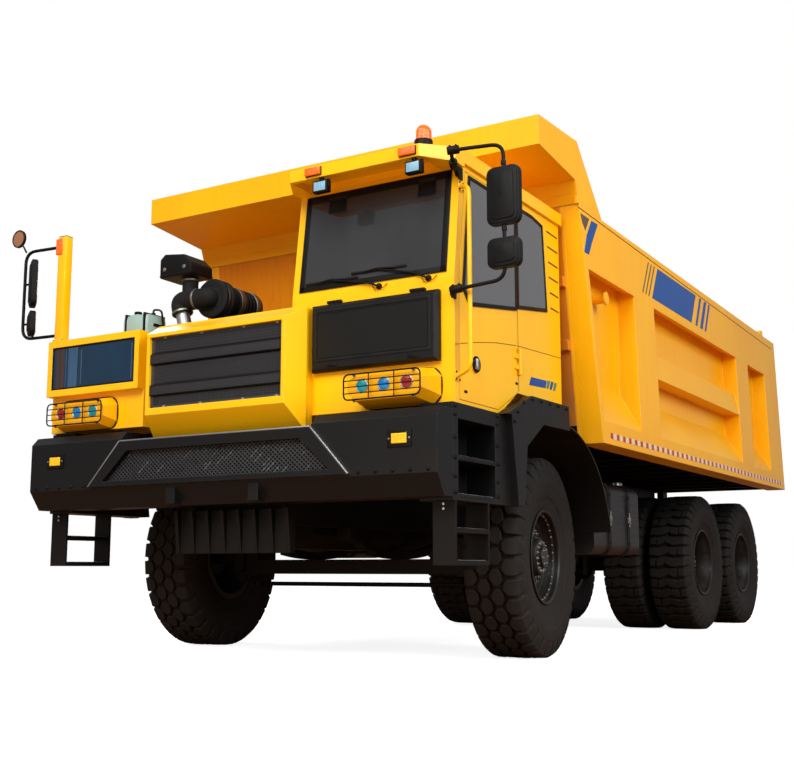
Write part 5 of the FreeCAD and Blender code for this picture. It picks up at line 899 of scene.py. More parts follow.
# %% Rims with their nuts
front_well = [
    (-207, 333), (-207, 376), (-202, 386), (-196, 388), (-191, 386), (-191, 366), (-150, 364), (150, 364),
    (191, 366), (191, 386), (196, 388), (203, 387), (207, 380), (206, 372), (196, 362), (160, 358), (150, 346),
    (112, 340), (100, 334), (84, 330), (74, 312), (70, 290), (66, 262), (66, 182), (72, 168), (96, 158),
    (150, 150), (163, 142), (165, 130), (165, 98), (170, 92), (190, 90), (195, 84), (195, 0), (-40, 0),
    (-40, 150), (20, 170), (32, 260), (32, 325), (10, 333),
]
dual_edge = 487
rear_well = [
    (-dual_edge, 333), (-dual_edge, 378), (-482, 388), (-471, 386), (-471, 366), (-430, 364), (430, 364),
    (471, 366), (471, 386), (478, 388), (484, 386), (dual_edge, 378), (484, 366), (470, 360), (430, 356),
    (414, 344), (300, 338), (280, 334), (140, 332), (112, 324), (96, 306), (90, 284), (90, 212), (96, 196),
    (130, 188), (312, 182), (326, 176), (330, 164), (330, 100), (336, 94), (352, 92), (360, 84), (360, 0),
    (-160, 0), (-160, 140), (40, 180), (56, 250), (56, 322), (30, 333),
]


def nut(bm, spot, across, height):
    """Six sided nut with a washer and a stud end, its top along +x, as a ring seed."""
    x, r = spot
    place = Matrix.Translation(Vector((0, r / 1000, 0)))
    half, top, stud_end = across / 2, x + height, x + height * 1.5
    turned(bm, [(x - 4, 0), (x - 4, half * 1.35), (x + 3, half * 1.3), (x + 3, 0)], 12, place)
    turned(bm, [(x + 3, 0), (x + 3, half), (top, half * 0.92), (top, 0)], 6, place)
    turned(bm, [(top, 0), (top, half * 0.5), (stud_end, half * 0.45), (stud_end, 0)], 8, place)


def rim_mesh(outline, rings):
    """Rim about the x axis; each ring of nuts is (count, place, across, height)."""
    bm = bmesh.new()
    turned(bm, outline, 96, Matrix())
    for count, spot, across, height in rings:
        seed = bmesh.new()
        nut(seed, spot, across, height)
        joined(bm, grown(seed, round_tree, Count=count, Start=0.1, Finish=bolt_zinc), finish=1)
    return plain_mesh(bm, "rim")


front_rim = rim_mesh(front_well, [(20, (66, 222), 36, 26), (16, (165, 118), 20, 12), (6, (195, 62), 14, 8),
                                  (32, (150, 350), 14, 7)])
rear_rim = rim_mesh(rear_well, [(20, (90, 248), 36, 28), (16, (330, 138), 24, 14), (6, (360, 60), 14, 8)])
for side, sign in both_sides:
    for axle, shape in (("front", front_rim), ("middle", rear_rim), ("rear", rear_rim)):
        bm = bmesh.new()
        joined(bm, shape, wheel_place(sign, axle))
        piece_from(f"wheel_disc_{axle}_{side}", bm, [rim_black, bolt_zinc], f"wheel_{axle}_{side}",
                   (f"rim_{axle}_{side}",), 34)

# %% [markdown]
# # Finishes on the CAD nodes
# The plates, frames and castings whose CAD shape is right keep it and only change their
# finish. A CAD node's mesh is never edited, so its material slots are all it takes.

# %% Dress the CAD nodes
finishes = {
    cab_yellow: ("cab_shell", "cab_roof", "door", "hood_cowl", "side_cabinet"),
    bed_yellow: ("bed_sides", "bed_canopy", "tailgate"),
    bed_front_shade_and_dirt: ("bed_front",),
    bumper_black: ("front_bumper", "step_housings", "service_flap", "front_fenders"),
    chassis_black: (
        "chassis_frame", "bed_floor", "rear_axles", "front_axle", "leaf_springs", "driveline",
        "engine_block", "tie_rod",
        "knuckle_left", "knuckle_right", "hoist_barrel", "guard_plate", "ladders", "engine_deck",
    ),
    tank_metal: ("side_tanks",),
    rod_chrome: ("hoist_rod", "hoist_stage_lower", "hoist_stage_upper"),
    glass_dark: ("cab_glass", "door_glass"),
    lamp_body: ("lamp_pods",),
}
for finish, names in finishes.items():
    for name in names:
        data = nodes[name].data
        if not data.materials:
            data.materials.append(finish)
        for index in range(len(data.materials)):
            data.materials[index] = finish
print("CAD nodes dressed:", sum(len(names) for names in finishes.values()))

# %% [markdown]
# # The front
# The grille is a black plate full of small holes with two bands raised across it. A hole could
# be drawn in a texture, but it would stay flat from the side, so the plate is one real cell
# with a six sided hole, laid on a grid by the tree. The bumper's mesh is woven, so its cell is
# two flat bars that cross, on the same tree with a trapezoid limit.

# %% Cells of the grille and of the bumper's mesh
def ring_at(bm, spots, depth):
    """Ring of points of a cell, in millimetres, at a depth behind its face."""
    return [bm.verts.new((spot - Vector((0, 0, depth))) / 1000) for spot in spots]


def hole_cell(wide, tall, hole, thick, corners=6):
    """One cell of a perforated plate in the x-y plane: a rectangle with a hole through it."""
    bm = bmesh.new()
    edge, rim = [], []
    for k in range(corners * 2):
        angle = math.pi * k / corners + math.pi / 2
        way = Vector((math.cos(angle), math.sin(angle), 0))
        sizes = ((wide / 2, abs(way.x)), (tall / 2, abs(way.y)))
        edge.append(way * min(half / part for half, part in sizes if part > 1e-6))
        rim.append(way * hole * (math.cos(math.pi / corners) if k % 2 else 1.0))
    front, back = ([ring_at(bm, ring, depth) for ring in (edge, rim)] for depth in (0, thick))
    bridge(bm, front[0], front[1])
    bridge(bm, back[1], back[0])
    bridge(bm, front[1], back[1])
    return bm


def cross_cell(wide, tall, half, thick=0.003, under=0.0012):
    """One cell of a woven mesh in the x-y plane, in metres: two flat bars that cross."""
    bm = bmesh.new()
    for sign, depth in ((1, 0.0), (-1, -under)):
        run = Vector((wide, sign * tall, 0)).normalized()
        side = Vector((-run.y, run.x, 0)) * half
        reach = Vector((wide / 2, sign * tall / 2, 0))
        spots = (-reach - side, reach - side, reach + side, -reach + side)
        lifts = [Vector((0, 0, z)) for z in (depth, depth - thick)]
        rings = [[bm.verts.new(spot + lift) for spot in spots] for lift in lifts]
        lids(bm, rings)
        bridge(bm, rings[1], rings[0])
    return bm


def upright(x, y, z):
    """Matrix that stands a plate drawn in x-y upright, facing forward, with its middle at a point."""
    return Matrix.Translation(at(x, y, z)) @ Matrix.Rotation(math.pi / 2, 4, "X")


print("cells ready")

# %% Grille
hole_pitch, hole_radius = (26, 22), 8.8
grille_x, grille_z, face_y = (-692, 628), (1985.5, 2559.5), -1966
middle_x, middle_z, frame_wide = -32, 2272.5, 28
band_middles = [1985 + share * 575 for share in (0.26, 0.70)]
plate = plate_of(hole_cell(*hole_pitch, hole_radius, 5), 50, 26, *hole_pitch, 700, 700, grille_grey)
band_cell = hole_cell(*hole_pitch, hole_radius, 3)
band_plate = plate_of(band_cell, 50, 3, *hole_pitch, 700, 700, grille_grey)
bm = bmesh.new()
joined(bm, plate, upright(middle_x, face_y, middle_z), 0)
for x in ((grille_x[0], grille_x[0] + frame_wide), (grille_x[1] - frame_wide, grille_x[1])):
    block(bm, x, (face_y - 8, face_y + 6), grille_z, 3)
for z in ((grille_z[0], 2003), (2542, grille_z[1])):
    block(bm, grille_x, (face_y - 8, face_y + 6), z, 3)
for z in band_middles:
    band = [(4, -56), (-18, -50), (-24, -44), (-24, 28), (-16, 38), (4, 56)]
    extruded(bm, [(face_y + dy, z + dz) for dy, dz in band], "x", -690, 626, 2, 1)
    joined(bm, band_plate, upright(middle_x, face_y - 26.5, z - 8), 0)
# Dark plate behind the holes: painted shade, for the dark engine bay seen through them.
block(bm, (-691, 627), (-1958, -1956), (1986, 2559), 0, 1)
for x in (-560, -180, 240, 560):
    for z in (2551, 1995):
        block(bm, (x, x + 22), (face_y - 13, face_y - 6), span(z, 7), 2, 2)
grille_finishes = [grille_grey, trim_plastic, edge_steel]
piece_from("grille_perforated", bm, grille_finishes, "truck", ("grille",))

# %% Bumper mesh
cell = cross_cell(0.040, 0.034, 0.0034)
plate = plate_of(cell, 56, 8, 40, 34, 875, 1120, grille_grey)
bm = bmesh.new()
joined(bm, plate, upright(0, -2016, 1531), 0)
extruded(bm, [(-1125, 1398), (1125, 1398), (865, 1664), (-865, 1664)], "y", -2012.5, -2011.2, 0, 1)
piece_from("bumper_mesh_perforated", bm, [grille_grey, trim_plastic], "truck", ("bumper_mesh",))

# %% [markdown]
# The raised frame of the bumper has a bright edge on its top and its slanted sides: bare metal
# where the plate was cut, and a painted highlight. Four thin strips follow that outline.

# %% Bright edge of the bumper's frame, with its painted highlight
nose_y = -2062
bm = bmesh.new()
edge_line = [(-1262, 1372), (-931, 1726), (931, 1726), (1262, 1372)]
for (x0, z0), (x1, z1) in zip(edge_line, edge_line[1:]):
    run = Vector((x1 - x0, z1 - z0)).normalized()
    out = Vector((-run.y, run.x)) * 11
    corners = [(x0, z0), (x1, z1), (x1 + out.x, z1 + out.y), (x0 + out.x, z0 + out.y)]
    extruded(bm, corners, "y", nose_y + 1, nose_y + 25, 1.5)
piece_from("bumper_bright_edges", bm, [edge_steel], "truck")

# %% [markdown]
# Six round lamps stand in two yellow pods. Each is a bright ring, a dished reflector and a
# domed lens, turned from its section and stood to face forward. The outer lamp of each group
# has a red lens and the others are blue and teal. Two square work lamps with pale ribbed
# glass hang under the visor of the cab.

# %% Headlamps and their guards
def round_lamp(bm, place, r, lens, bezel=0, dish=1, steps=40):
    """Lamp of a radius, facing forward: bezel ring, reflector dish and domed lens."""
    stand = facing(place, (0, -1, 0))
    turned(bm, [(-12, r - 8), (-12, r), (6, r), (9, r - 3), (9, r - 7), (4, r - 9)], steps, stand, bezel)
    bowl = [(-11, 0), (-11, r * 0.35), (-8, r * 0.62), (1, r - 8), (-2, r - 8), (-13, r * 0.5), (-13, 0)]
    turned(bm, bowl, steps, stand, dish)
    turned(bm, [(-4, 0), (-4, r * 0.2), (4, r * 0.16), (4, 0)], 12, stand, dish)
    shares = [k / 6 for k in range(7)]
    dome = [(3 + 7 * (1 - (1 - share) ** 2), (r - 9) * (1 - share)) for share in shares]
    turned(bm, [(1, 0), (1, r - 9)] + dome, steps, stand, lens)


pod_fronts = ((-1940, 1), (-2000, -1))
bm = bmesh.new()
for front, sign in pod_fronts:
    for x, lens in ((1306, 6), (1489, 2), (1675, 4)):
        round_lamp(bm, (sign * x, front + 4, 2008), 52, lens)
for x in (930, 1737):
    block(bm, span(x, 65), (-1956, -1897.5), (3510, 3600), 7, 5)
    block(bm, span(x, 50), (-1957, -1955), (3523, 3587), 1, 1)
    block(bm, span(x, 52), (-1960, -1957.4), (3521, 3589), 1, 3)
    for rib_x in range(-40, 41, 20):
        block(bm, (x + rib_x - 3, x + rib_x + 3), (-1961.5, -1959), (3525, 3585), 1, 3)
    block(bm, span(x, 15), (-1942.5, -1912.5), (3598, 3630.5), 3, 5)
    for side_x in (x - 71, x + 65):
        block(bm, (side_x, side_x + 6), (-1938, -1917), (3545, 3606), 2, 5)
    block(bm, span(x, 71), (-1938, -1917), (3603, 3609), 2, 5)
lamp_finishes = [edge_steel, mirror_silver, lens_blue, lens_clear, lens_red, trim_plastic, lens_teal]
piece_from("headlamps_and_work_lamps", bm, lamp_finishes, "truck", ("lamps",))

bm = bmesh.new()
for front, sign in pod_fronts:
    y = front - 36
    x0, x1, z0, z1 = 1172, 1805, 1908, 2092
    loop = [(1488, z1), (x1, z1), (x1, z0), (x0, z0), (x0, z1), (1489, z1)]
    bar(bm, [(sign * x, y, z) for x, z in loop], 6, 45, 8)
    for z in (1954, 2000, 2046):
        bar(bm, [(sign * x0, y - 1, z), (sign * x1, y - 1, z)], 4, 30, 8)
    for share in (1 / 3, 2 / 3):
        x = sign * (x0 + (x1 - x0) * share)
        bar(bm, [(x, y, z0), (x, y, z1)], 4.5, 30, 8)
    for x in (x0 + 70, x1 - 70):
        for z in (z0, z1):
            bar(bm, [(sign * x, y, z), (sign * x, front + 1, z)], 6, 10, 8)
            screw(bm, facing((sign * x, front, z), (0, -1, 0)), 15, 4, 12, 1, -2)
piece_from("wire_lamp_guards", bm, [trim_plastic, bolt_zinc], "truck", ("lamp_guards",))

# %% [markdown]
# Each pod is sealed to its panel by a dark rubber line that follows the pod's foot with
# rounded corners, so a thin bar is swept round that outline.

# %% Seals of the lamp pods
bm = bmesh.new()
for y, sign in ((-1706, 1), (-1871, -1)):
    low_x, high_x, low_z, high_z = 1149, 1828, 1869, 2136
    loop = [(1480, high_z), (high_x, high_z), (high_x, low_z), (low_x, low_z), (low_x, high_z), (1481, high_z)]
    bar(bm, [(sign * x, y, z) for x, z in loop], 6, 110, 8)
piece_from("pod_seals", bm, [trim_plastic], "truck")

# %% [markdown]
# Signal lamps are small housings with ribbed lenses. The beacon is a turned dome on a black
# foot, the fog lamps are square lenses in black bezels, and the tail lamps have three fields.
# The ribs are thin blocks, because a bump alone would leave a flat face in the mesh.

# %% Signal lamps
bm = bmesh.new()
for sign in (-1, 1):
    x = sorted((sign * 1592.5, sign * 1758.5))
    block(bm, (x[0] - 14, x[1] + 14), (-2045, -2036), (1541, 1664), 4, 1)
    block(bm, x, (-2040, -1977), (1555.5, 1649.5), 4, 1)
    inner = (x[0] + 22, x[1] - 22)
    block(bm, inner, (-2047, -2042), (1568, 1637), 2, 3)
    for k in range(5):
        z = 1573 + k * 12.5
        block(bm, (inner[0] + 3, inner[1] - 3), (-2050, -2045), (z, z + 7), 1.6, 3)
    for screw_x in (x[0] + 2, x[1] - 2):
        screw(bm, facing((screw_x, -2044, 1602), (0, -1, 0)), 8, 5, 10, 4)
    lamp_x = sorted((sign * 170.5, sign * 339.5))
    block(bm, lamp_x, (7331.5, 7385), (1181, 1299), 6, 1)
    third = (lamp_x[1] - lamp_x[0] - 20) / 3
    for k in range(3):
        a = lamp_x[0] + 10 + k * third
        block(bm, (a + 2, a + third - 2), (7383, 7390.5), (1192, 1288), 3, 2 if k != 1 else 0)
for x in (871, 1693):
    block(bm, span(x, 73), (-1957, -1950.5), (3643, 3711), 3, 1)
    block(bm, span(x, 68), (-1979, -1956), (3647, 3707), 8, 0)
    for k in range(6):
        z = 3653 + k * 9
        block(bm, span(x, 62), (-1980, -1977), (z, z + 4), 1.2, 0)
beacon = facing((1767, -1850, 3772), (0, 0, 1))
turned(bm, [(-60, 0), (-60, 69), (0, 69), (5, 66), (5, 0)], 40, beacon, 1)
dome = [(5, 0), (5, 61), (12, 61.5), (66, 60)]
dome += [(66 + 57 * math.sin(k * math.pi / 16), 60 * math.cos(k * math.pi / 16)) for k in range(1, 8)]
turned(bm, dome + [(123, 0)], 40, beacon, 0)
signal_finishes = [lens_amber, trim_plastic, lens_red, lens_fog, bolt_zinc]
piece_from("signal_lamps_ribbed", bm, signal_finishes, "truck", ("signal_lamps",))

# %% [markdown]
# Mirrors hang on bent steel bars. The bars are swept with rounded bends, and each head is a
# black shell with a silver face set in it, looking back along the truck.

# %% Mirrors
def rounded_box(x0, x1, z0, z1, radius, steps=5):
    """Outline of a rectangle with round corners, in millimetres."""
    outline = []
    for turn, (x, z) in enumerate(((x1, z1), (x0, z1), (x0, z0), (x1, z0))):
        mid_x = x - radius if x == x1 else x + radius
        mid_z = z - radius if z == z1 else z + radius
        for k in range(steps + 1):
            angle = (turn + k / steps) * math.pi / 2
            outline.append((mid_x + radius * math.cos(angle), mid_z + radius * math.sin(angle)))
    return outline


def mirror_head(bm, x, y, low, high, width, depth, turn_angle):
    """Mirror shell with a moulded boss on its front and a silver face on its rear side."""
    shell = bmesh.new()
    half, middle = width / 2, (low + high) / 2
    for inset, out, rear, corner in ((0, 0, depth / 2 - 6, 46), (14, 7, 0, 38), (40, 15, 0, 24)):
        outline = rounded_box(x - half + inset, x + half - inset, low + inset, high - inset, corner)
        extruded(shell, outline, "y", y - depth / 2 + 16 - out, y + rear, 7)
    block(shell, span(x, 38), (y - depth / 2, y), (middle - 20, high - 46), 14, 0)
    back = y + depth / 2
    block(shell, span(x, half - 12), (back - 10, back - 2), (low + 12, high - 12), 2, 1)
    middle = Matrix.Translation(at(x, y, 0))
    spin = middle @ Matrix.Rotation(math.radians(turn_angle), 4, "Z") @ middle.inverted()
    bmesh.ops.transform(shell, matrix=spin, verts=shell.verts)
    joined(bm, plain_mesh(shell, "head"))


def clamp(bm, place, axis, half):
    """Chunky two part clamp round a mirror arm, with a screw on each side."""
    stand = facing(place, axis)
    turned(bm, [(-half, 0), (-half, 27), (-half + 6, 31), (half - 6, 31), (half, 27), (half, 0)], 10, stand)
    for shift in (-half * 0.5, half * 0.5):
        head = Matrix.Translation(Vector((shift / 1000, 0, 0.031))) @ Matrix.Rotation(-math.pi / 2, 4, "Y")
        screw(bm, stand @ head, 9, 8, foot=-8)


print("mirror helpers ready")

# %% Left and right mirrors
mirror_bronze = coated("mirror_bronze", "A87850", "7E5436", "D8AC84", 0.25, wear_and_glint=0.1, radius=0.002,
                       dust=0.1, streaks=0.1)
bm = bmesh.new()
left = (2345, -1730)
arm = [(1908, -1600, 3567), (2010, -1900, 3640), (*left, 3680), (*left, 2700), (1960, -1755, 2668),
       (1908, -1700, 2654)]
bar(bm, arm, 14, 90)
for z in (3540, 3440, 3150, 3060, 2960, 2820):
    turned(bm, [(-14, 0), (-14, 19), (14, 19), (14, 0)], 16, facing((*left, z), (0, 0, 1)))
for low, high in ((3090, 3510), (2780, 2995)):
    mirror_head(bm, *left, low, high, 250, 70, 0)
clamp(bm, (2030, -1888, 3643), (1, 0.42, 0.1), 44)
clamp(bm, (1955, -1742, 3602), (0.35, -0.9, 0.22), 40)
clamp(bm, (1975, -1753, 2671), (1, 0.1, 0.1), 46)
for place in ((1932, -1608, 3573), (1932, -1722, 2660)):
    block(bm, (place[0] - 1, place[0] + 12), span(place[1], 34), span(place[2], 46), 5, 0)
post_x, arm_x, mirror_y = -1880, -2285, -1930
arm = [(post_x, -1890, 3520), (arm_x, mirror_y, 3520), (arm_x, mirror_y, 2725), (post_x, -1890, 2725)]
bar(bm, arm, 14, 110)
for low, high in ((3010, 3430), (2750, 2965)):
    mirror_head(bm, -2180, mirror_y, low, high, 200, 70, -36)
    middle = (low + high) / 2
    bar(bm, [(arm_x, mirror_y, middle), (-2190, mirror_y, middle)], 10, 10, 10)
spot_x = -2388
bar(bm, [(arm_x, mirror_y, 3520), (-2330, mirror_y, 3585), (spot_x, mirror_y, 3660)], 8, 40, 10)
stand = facing((spot_x, mirror_y, 3660), (0, -1, 0))
turned(bm, [(-14, 0), (-14, 76), (-8, 82), (10, 82), (14, 78), (14, 72), (8, 70), (8, 0)], 40, stand, 0)
turned(bm, [(8, 0), (8, 70), (11, 40), (12, 0)], 40, stand, 2)
for z in (3520, 2725):
    block(bm, (post_x - 6, post_x + 1), (-1924, -1856), span(z, 34), 3, 0)
mirror_finishes = [trim_plastic, mirror_silver, mirror_bronze]
piece_from("mirror_arms_and_heads", bm, mirror_finishes, "truck", ("mirrors",))

# %% [markdown]
# The mirror post is a square yellow tube with a cap and an amber marker, and the grab rail is
# a bent yellow tube with feet that are bolted to the cab.

# %% Post and grab rail
bm = bmesh.new()
block(bm, (-1880, -1785), (-1930, -1850), (2662, 3600), 8, 0)
block(bm, (-1878, -1787), (-1928, -1852), (3599, 3605), 3, 2)
block(bm, (-1899, -1868), (-1938, -1866), (3440, 3580), 6, 1)
block(bm, (-1898, -1820), (-1941, -1926), (3440, 3580), 6, 1)
block(bm, (-1898, -1772), (-1936, -1840), (2660.5, 2672), 3, 0)
for x in (-1888, -1782):
    for y in (-1926, -1852):
        screw(bm, facing((x, y, 2671), (0, 0, 1)), 9, 7, 6, 2)
bar(bm, [(1908, -1580, 3485), (2050, -1690, 3440), (2050, -1690, 2105), (1908, -1665, 2060)], 17, 100, 16)
for place in ((1929, -1594, 3480), (1929, -1668, 2067)):
    block(bm, (place[0] + 1, place[0] + 8), span(place[1], 38), span(place[2], 38), 4, 0)
    for dy, dz in ((-26, -26), (26, -26), (-26, 26), (26, 26)):
        spot = (place[0] + 8, place[1] + dy, place[2] + dz)
        screw(bm, facing(spot, (1, 0, 0)), 8, 6, 6, 2)
post_finishes = [cab_yellow, lens_amber, trim_plastic]
piece_from("post_and_bent_rail", bm, post_finishes, "truck", ("post_and_rail",))

# %% [markdown]
# A wiper is a flat sprung arm on a round pivot cap, with a bridge and a thin rubber blade
# that lies on the glass. The windscreen also gets its black ceramic border and rubber seal.

# %% Wipers and windscreen seal
screen_foot_y, screen_foot_z, screen_lean = -1700, 2790, 110 / 870


def screen_y(z, out):
    """Y of the leaning windscreen at a height, a distance in front of it."""
    return screen_foot_y + screen_lean * (z - screen_foot_z) - out


def on_screen(x, low, high, out, ease):
    """Flat strip on the windscreen between two heights."""
    ends = ((low, 8.4), (low, out), (high, out), (high, 8.4))
    extruded(bm, [(screen_y(z, gap), z) for z, gap in ends], "x", *x, ease)


bm = bmesh.new()
for x, z, rise in ((1302, 2790, 100), (1722, 2795, 128)):
    stand = facing((x, screen_y(z, 2), z), (0, -1, 0.12))
    turned(bm, [(-4, 0), (-4, 24), (10, 23), (22, 15), (26, 0)], 20, stand, 0)
    tip = (x - 430, z + rise)
    knee = (x - 110, z + rise * 0.42)
    bends = ((x, z, 24), (*knee, 28), (*tip, 26))
    bar(bm, [(across, screen_y(up, gap), up) for across, up, gap in bends], 7, 60, 8)
    bar(bm, [(x - 16, screen_y(z, 22), z + 8), (knee[0], screen_y(knee[1], 22), knee[1] + 14)], 5, 20, 8)
    bridge_y, middle_y = screen_y(tip[1], 23), screen_y(tip[1], 30)
    ends = [(tip[0] + reach, bridge_y, tip[1] - 6) for reach in (-130, 130)]
    bar(bm, [ends[0], (tip[0], middle_y, tip[1] + 6), ends[1]], 6, 30, 8)
    low, high = tip[1] - 14, tip[1] + 4
    ends = ((low, 10), (low, 15), (high, 27), (high, 17))
    blade = [(screen_y(z, gap), z) for z, gap in ends]
    extruded(bm, blade, "x", tip[0] - 240, tip[0] + 240, 1, 1)
    for hose_x, drop in ((x - 60, 30), (x + 70, 22)):
        middle = ((x + hose_x) / 2, screen_y(z, 16), z - drop)
        bar(bm, [(x, screen_y(z, 14), z - 12), middle, (hose_x, screen_y(z, 6), z + 14)], 3, 30, 6, 2)
wiper_finishes = [trim_plastic, tyre_rubber, lens_red]
piece_from("wiper_arms_and_blades", bm, wiper_finishes, "truck", ("wipers",))

# %% Windscreen border
bm = bmesh.new()
low, top = 2829, 3619
for x in ((571, 618), (1820, 1867)):
    on_screen(x, low, top, 11, 1)
for foot, head in ((low, low + 44), (top - 62, top)):
    on_screen((571, 1867), foot, head, 11, 1)
for x in ((790, 950), (1590, 1740)):
    on_screen(x, 3452, 3585, 10.4, 3)
piece_from("windscreen_border_and_visors", bm, [trim_plastic], "truck")

# %% [markdown]
# # The air intake and the coolant tank
# On the deck a filter drum with a ribbed rubber sleeve lies along the truck. Its elbow carries
# a rain hood on a short neck, and a polished pipe runs down to the deck. The drum is turned
# from its section, the pipes are swept, and the hood is one outline pushed along the truck.
# The ribs of the sleeve are part of the turned section, so they stay round at any distance.

# %% Air intake
bm = bmesh.new()
drum = facing((-575, -1400, 2998), (0, 1, 0))
outline = [(0, 0), (0, 128)]
clamp_band = ((0, 150), (4, 165), (11, 170), (34, 170), (41, 165), (45, 150))
groove = ((0, 139), (6, 135), (14, 135), (20, 139), (22, 144), (40, 144))
outline += [(start + x, r) for start in (0, 90) for x, r in clamp_band]
outline += [(150, 144), (196, 144)]
outline += [(start + x, r) for start in range(210, 480, 45) for x, r in groove]
outline += [(520, 144), (540, 136), (550, 118), (550, 0)]
turned(bm, outline, 64, drum)
elbow = [(-575, -1385, 2998), (-575, -1430, 2998), (-893, -1430, 2998), (-862, -1430, 2882)]
swept(bm, bent_line(elbow, 96, 8), 87, 28)
swept(bm, bent_line([(-868, -1430, 2905), (-785, -1430, 2596)], 10), 61, 28, 2)
swept(bm, bent_line([(-785, -1430, 2990), (-785, -1430, 3188)], 10), 69, 28)
hood = [(-1015, 3186), (-1015, 3355), (-960, 3399), (-745, 3374), (-660, 3290), (-655, 3191)]
extruded(bm, hood, "y", -1569, -1291, 16, 1)
extruded(bm, [(-1014, 3200), (-1014, 3214), (-656, 3219), (-656, 3205)], "y", -1571, -1289, 4, 1)
for x, z in ((-960, 3262), (-740, 3262)):
    turned(bm, [(0, 0), (0, 17), (5, 16), (8, 0)], 16, facing((x, -1569, z), (0, -1, 0)), 3)
for place, axis, radius in (
    ((-700, -1430, 2998), (1, 0, 0), 92), ((-866, -1430, 2897), (0.26, 0, -0.97), 92),
    ((-785, -1430, 3170), (0, 0, 1), 73), ((-830, -1430, 2763), (0.26, 0, -0.97), 65),
    ((-794, -1430, 2630), (0.26, 0, -0.97), 65), ((-575, -1332, 2998), (0, 1, 0), 154),
):
    turned(bm, [(-8, radius - 8), (-8, radius), (8, radius), (8, radius - 8)], 40, facing(place, axis), 3)
block(bm, (-905, -800), (-1440, -1420), (2720, 2733), 3, 1)
for y in (-1130, -920):
    block(bm, (-646, -504), span(y, 30), (2595.5, 2890), 6, 1)
    turned(bm, [(-26, 139), (-26, 148), (26, 148), (26, 139)], 48, facing((-575, y, 2998), (0, 1, 0)), 3)
intake_finishes = [tyre_rubber, trim_plastic, edge_steel, bolt_zinc]
piece_from("air_intake_and_filter", bm, intake_finishes, "truck", ("air_intake",), 50)

# %% [markdown]
# The coolant tank is blow moulded, so its corners are wide and its top has a shallow step. A
# block with well eased edges gives that softness, and two straps hold it down.

# %% Coolant tank
bm = bmesh.new()
block(bm, (-1411, -1107), (-1599, -1351), (2661, 2904), 56, 0)
block(bm, (-1368, -1262), (-1556, -1444), (2895, 2911), 7, 0)
cap = facing((-1315, -1500, 2908), (0, 0, 1))
turned(bm, [(0, 0), (0, 30), (4, 32), (30, 32), (36, 27), (37, 0)], 28, cap, 1)
for k in range(16):
    angle = k * math.pi / 8
    spot = (-1315 + 31 * math.cos(angle), -1500 + 31 * math.sin(angle), 2926)
    block(bm, span(spot[0], 2), span(spot[1], 2), (2912, 2940), 0, 1)
neck = facing((-1165, -1470, 2896), (0, 0, 1))
turned(bm, [(0, 0), (0, 20), (26, 19), (30, 0)], 20, neck, 1)
bar(bm, [(-1165, -1470, 2915), (-1165, -1470, 2952), (-1098, -1440, 2948), (-1092, -1400, 2664)], 9, 40, 10, 1)
for z in (2702, 2790):
    block(bm, (-1109, -1096), (-1530, -1420), (z, z + 26), 4, 1)
for x in (-1362, -1150):
    block(bm, span(x, 11), (-1601, -1349), (2661, 2906), 2, 1)
tank_finishes = [coolant_plastic, trim_plastic]
piece_from("coolant_tank_moulded", bm, tank_finishes, "truck", ("coolant_tank",))

# %% [markdown]
# # Stripes and tape on the bed
# The bed's top band carries slanted blue stripes that lean back, and its foot rail a row of
# red and white reflecting squares. They could be masks in the paint, but film has an edge and
# a gloss of its own, so they are thin plates that follow the leaning sheet. Thin grey brown
# plates among the stripes paint shadow lines on the band, and a dark patch at its front top.

# %% Stripes
bed_foot, bed_top = (2160, 1790), (2105, 3850)


def outer_x(z):
    """X of the bed's outer faces at a height."""
    return bed_foot[0] + (z - bed_foot[1]) / (bed_top[1] - bed_foot[1]) * (bed_top[0] - bed_foot[0])


film = dict(radius=0.003, wear_and_glint=0.2)
tape = dict(film, dust=0.15, streaks=0.1, grain=900, bump=0.3)
stripe_blue = coated("stripe_blue_film", "0050A4", "004088", "4E88C0", 0.38, dust=0.05, streaks=0.15,
                     shine=0.25, **film)
# Grey brown plates that paint shadow lines on the band.
painted_shadow_brown = coated("stripe_grey_film", "5A4A38", "483A2C", "8A7A66", 0.42, dust=0.1, streaks=0.15, **film)
stripe_green = coated("stripe_green_film", "1E8F6A", "157556", "6FBFA4", 0.32, wear_and_glint=0.3, radius=0.003,
                      dust=0.1, streaks=0.3)
tape_red = coated("reflecting_red", "B5201A", "94150F", "D8736C", 0.30, **tape)
tape_white = coated("reflecting_white", "E4E2DC", "CFCBC2", "FFFFFF", 0.30, **tape)


def bed_film(bm, outline, finish=0, sign=1):
    """Thin plate on the bed's leaning outer face; the outline is (y, z) in millimetres."""
    rings = [[bm.verts.new(at(sign * (outer_x(z) + lift), y, z)) for y, z in outline] for lift in (2.0, -0.5)]
    lids(bm, rings, finish)
    bridge(bm, rings[1], rings[0], finish)


def slanted(y, width, low=3400, high=3755, lean=230):
    """Slanted stripe across the band, its foot at y and its top further back."""
    return [(y, low), (y + width, low), (y + width + lean, high), (y + lean, high)]


for side, sign in both_sides:
    bm = bmesh.new()
    bed_film(bm, [(350, 3436), (455, 3436), (540, 3560), (713, 3778), (560, 3774), (430, 3610)], 0, sign)
    # Grey brown plates paint shade on the band: a dark patch at its front top, then three thin shadow lines.
    bed_film(bm, [(300, 3774), (505, 3774), (400, 3640), (335, 3700)], 1, sign)
    for y in (1860, 1950, 2040):
        bed_film(bm, slanted(y, 26), 1, sign)
    for y, width in ((2155, 1335), (3640, 70), (3820, 95), (4000, 60)):
        bed_film(bm, slanted(y, width), 0, sign)
    # A thin dark brown line runs along the band near its top.
    bed_film(bm, [(245, 3811), (7300, 3737), (7300, 3746), (245, 3820)], 2, sign)
    piece_from(f"bed_stripes_{side}", bm, [stripe_blue, painted_shadow_brown, seam_brown], "bed")

# %% [markdown]
# The tape squares repeat along the foot rail, so one red and one white square are built and
# the row tree lays them out along the truck.

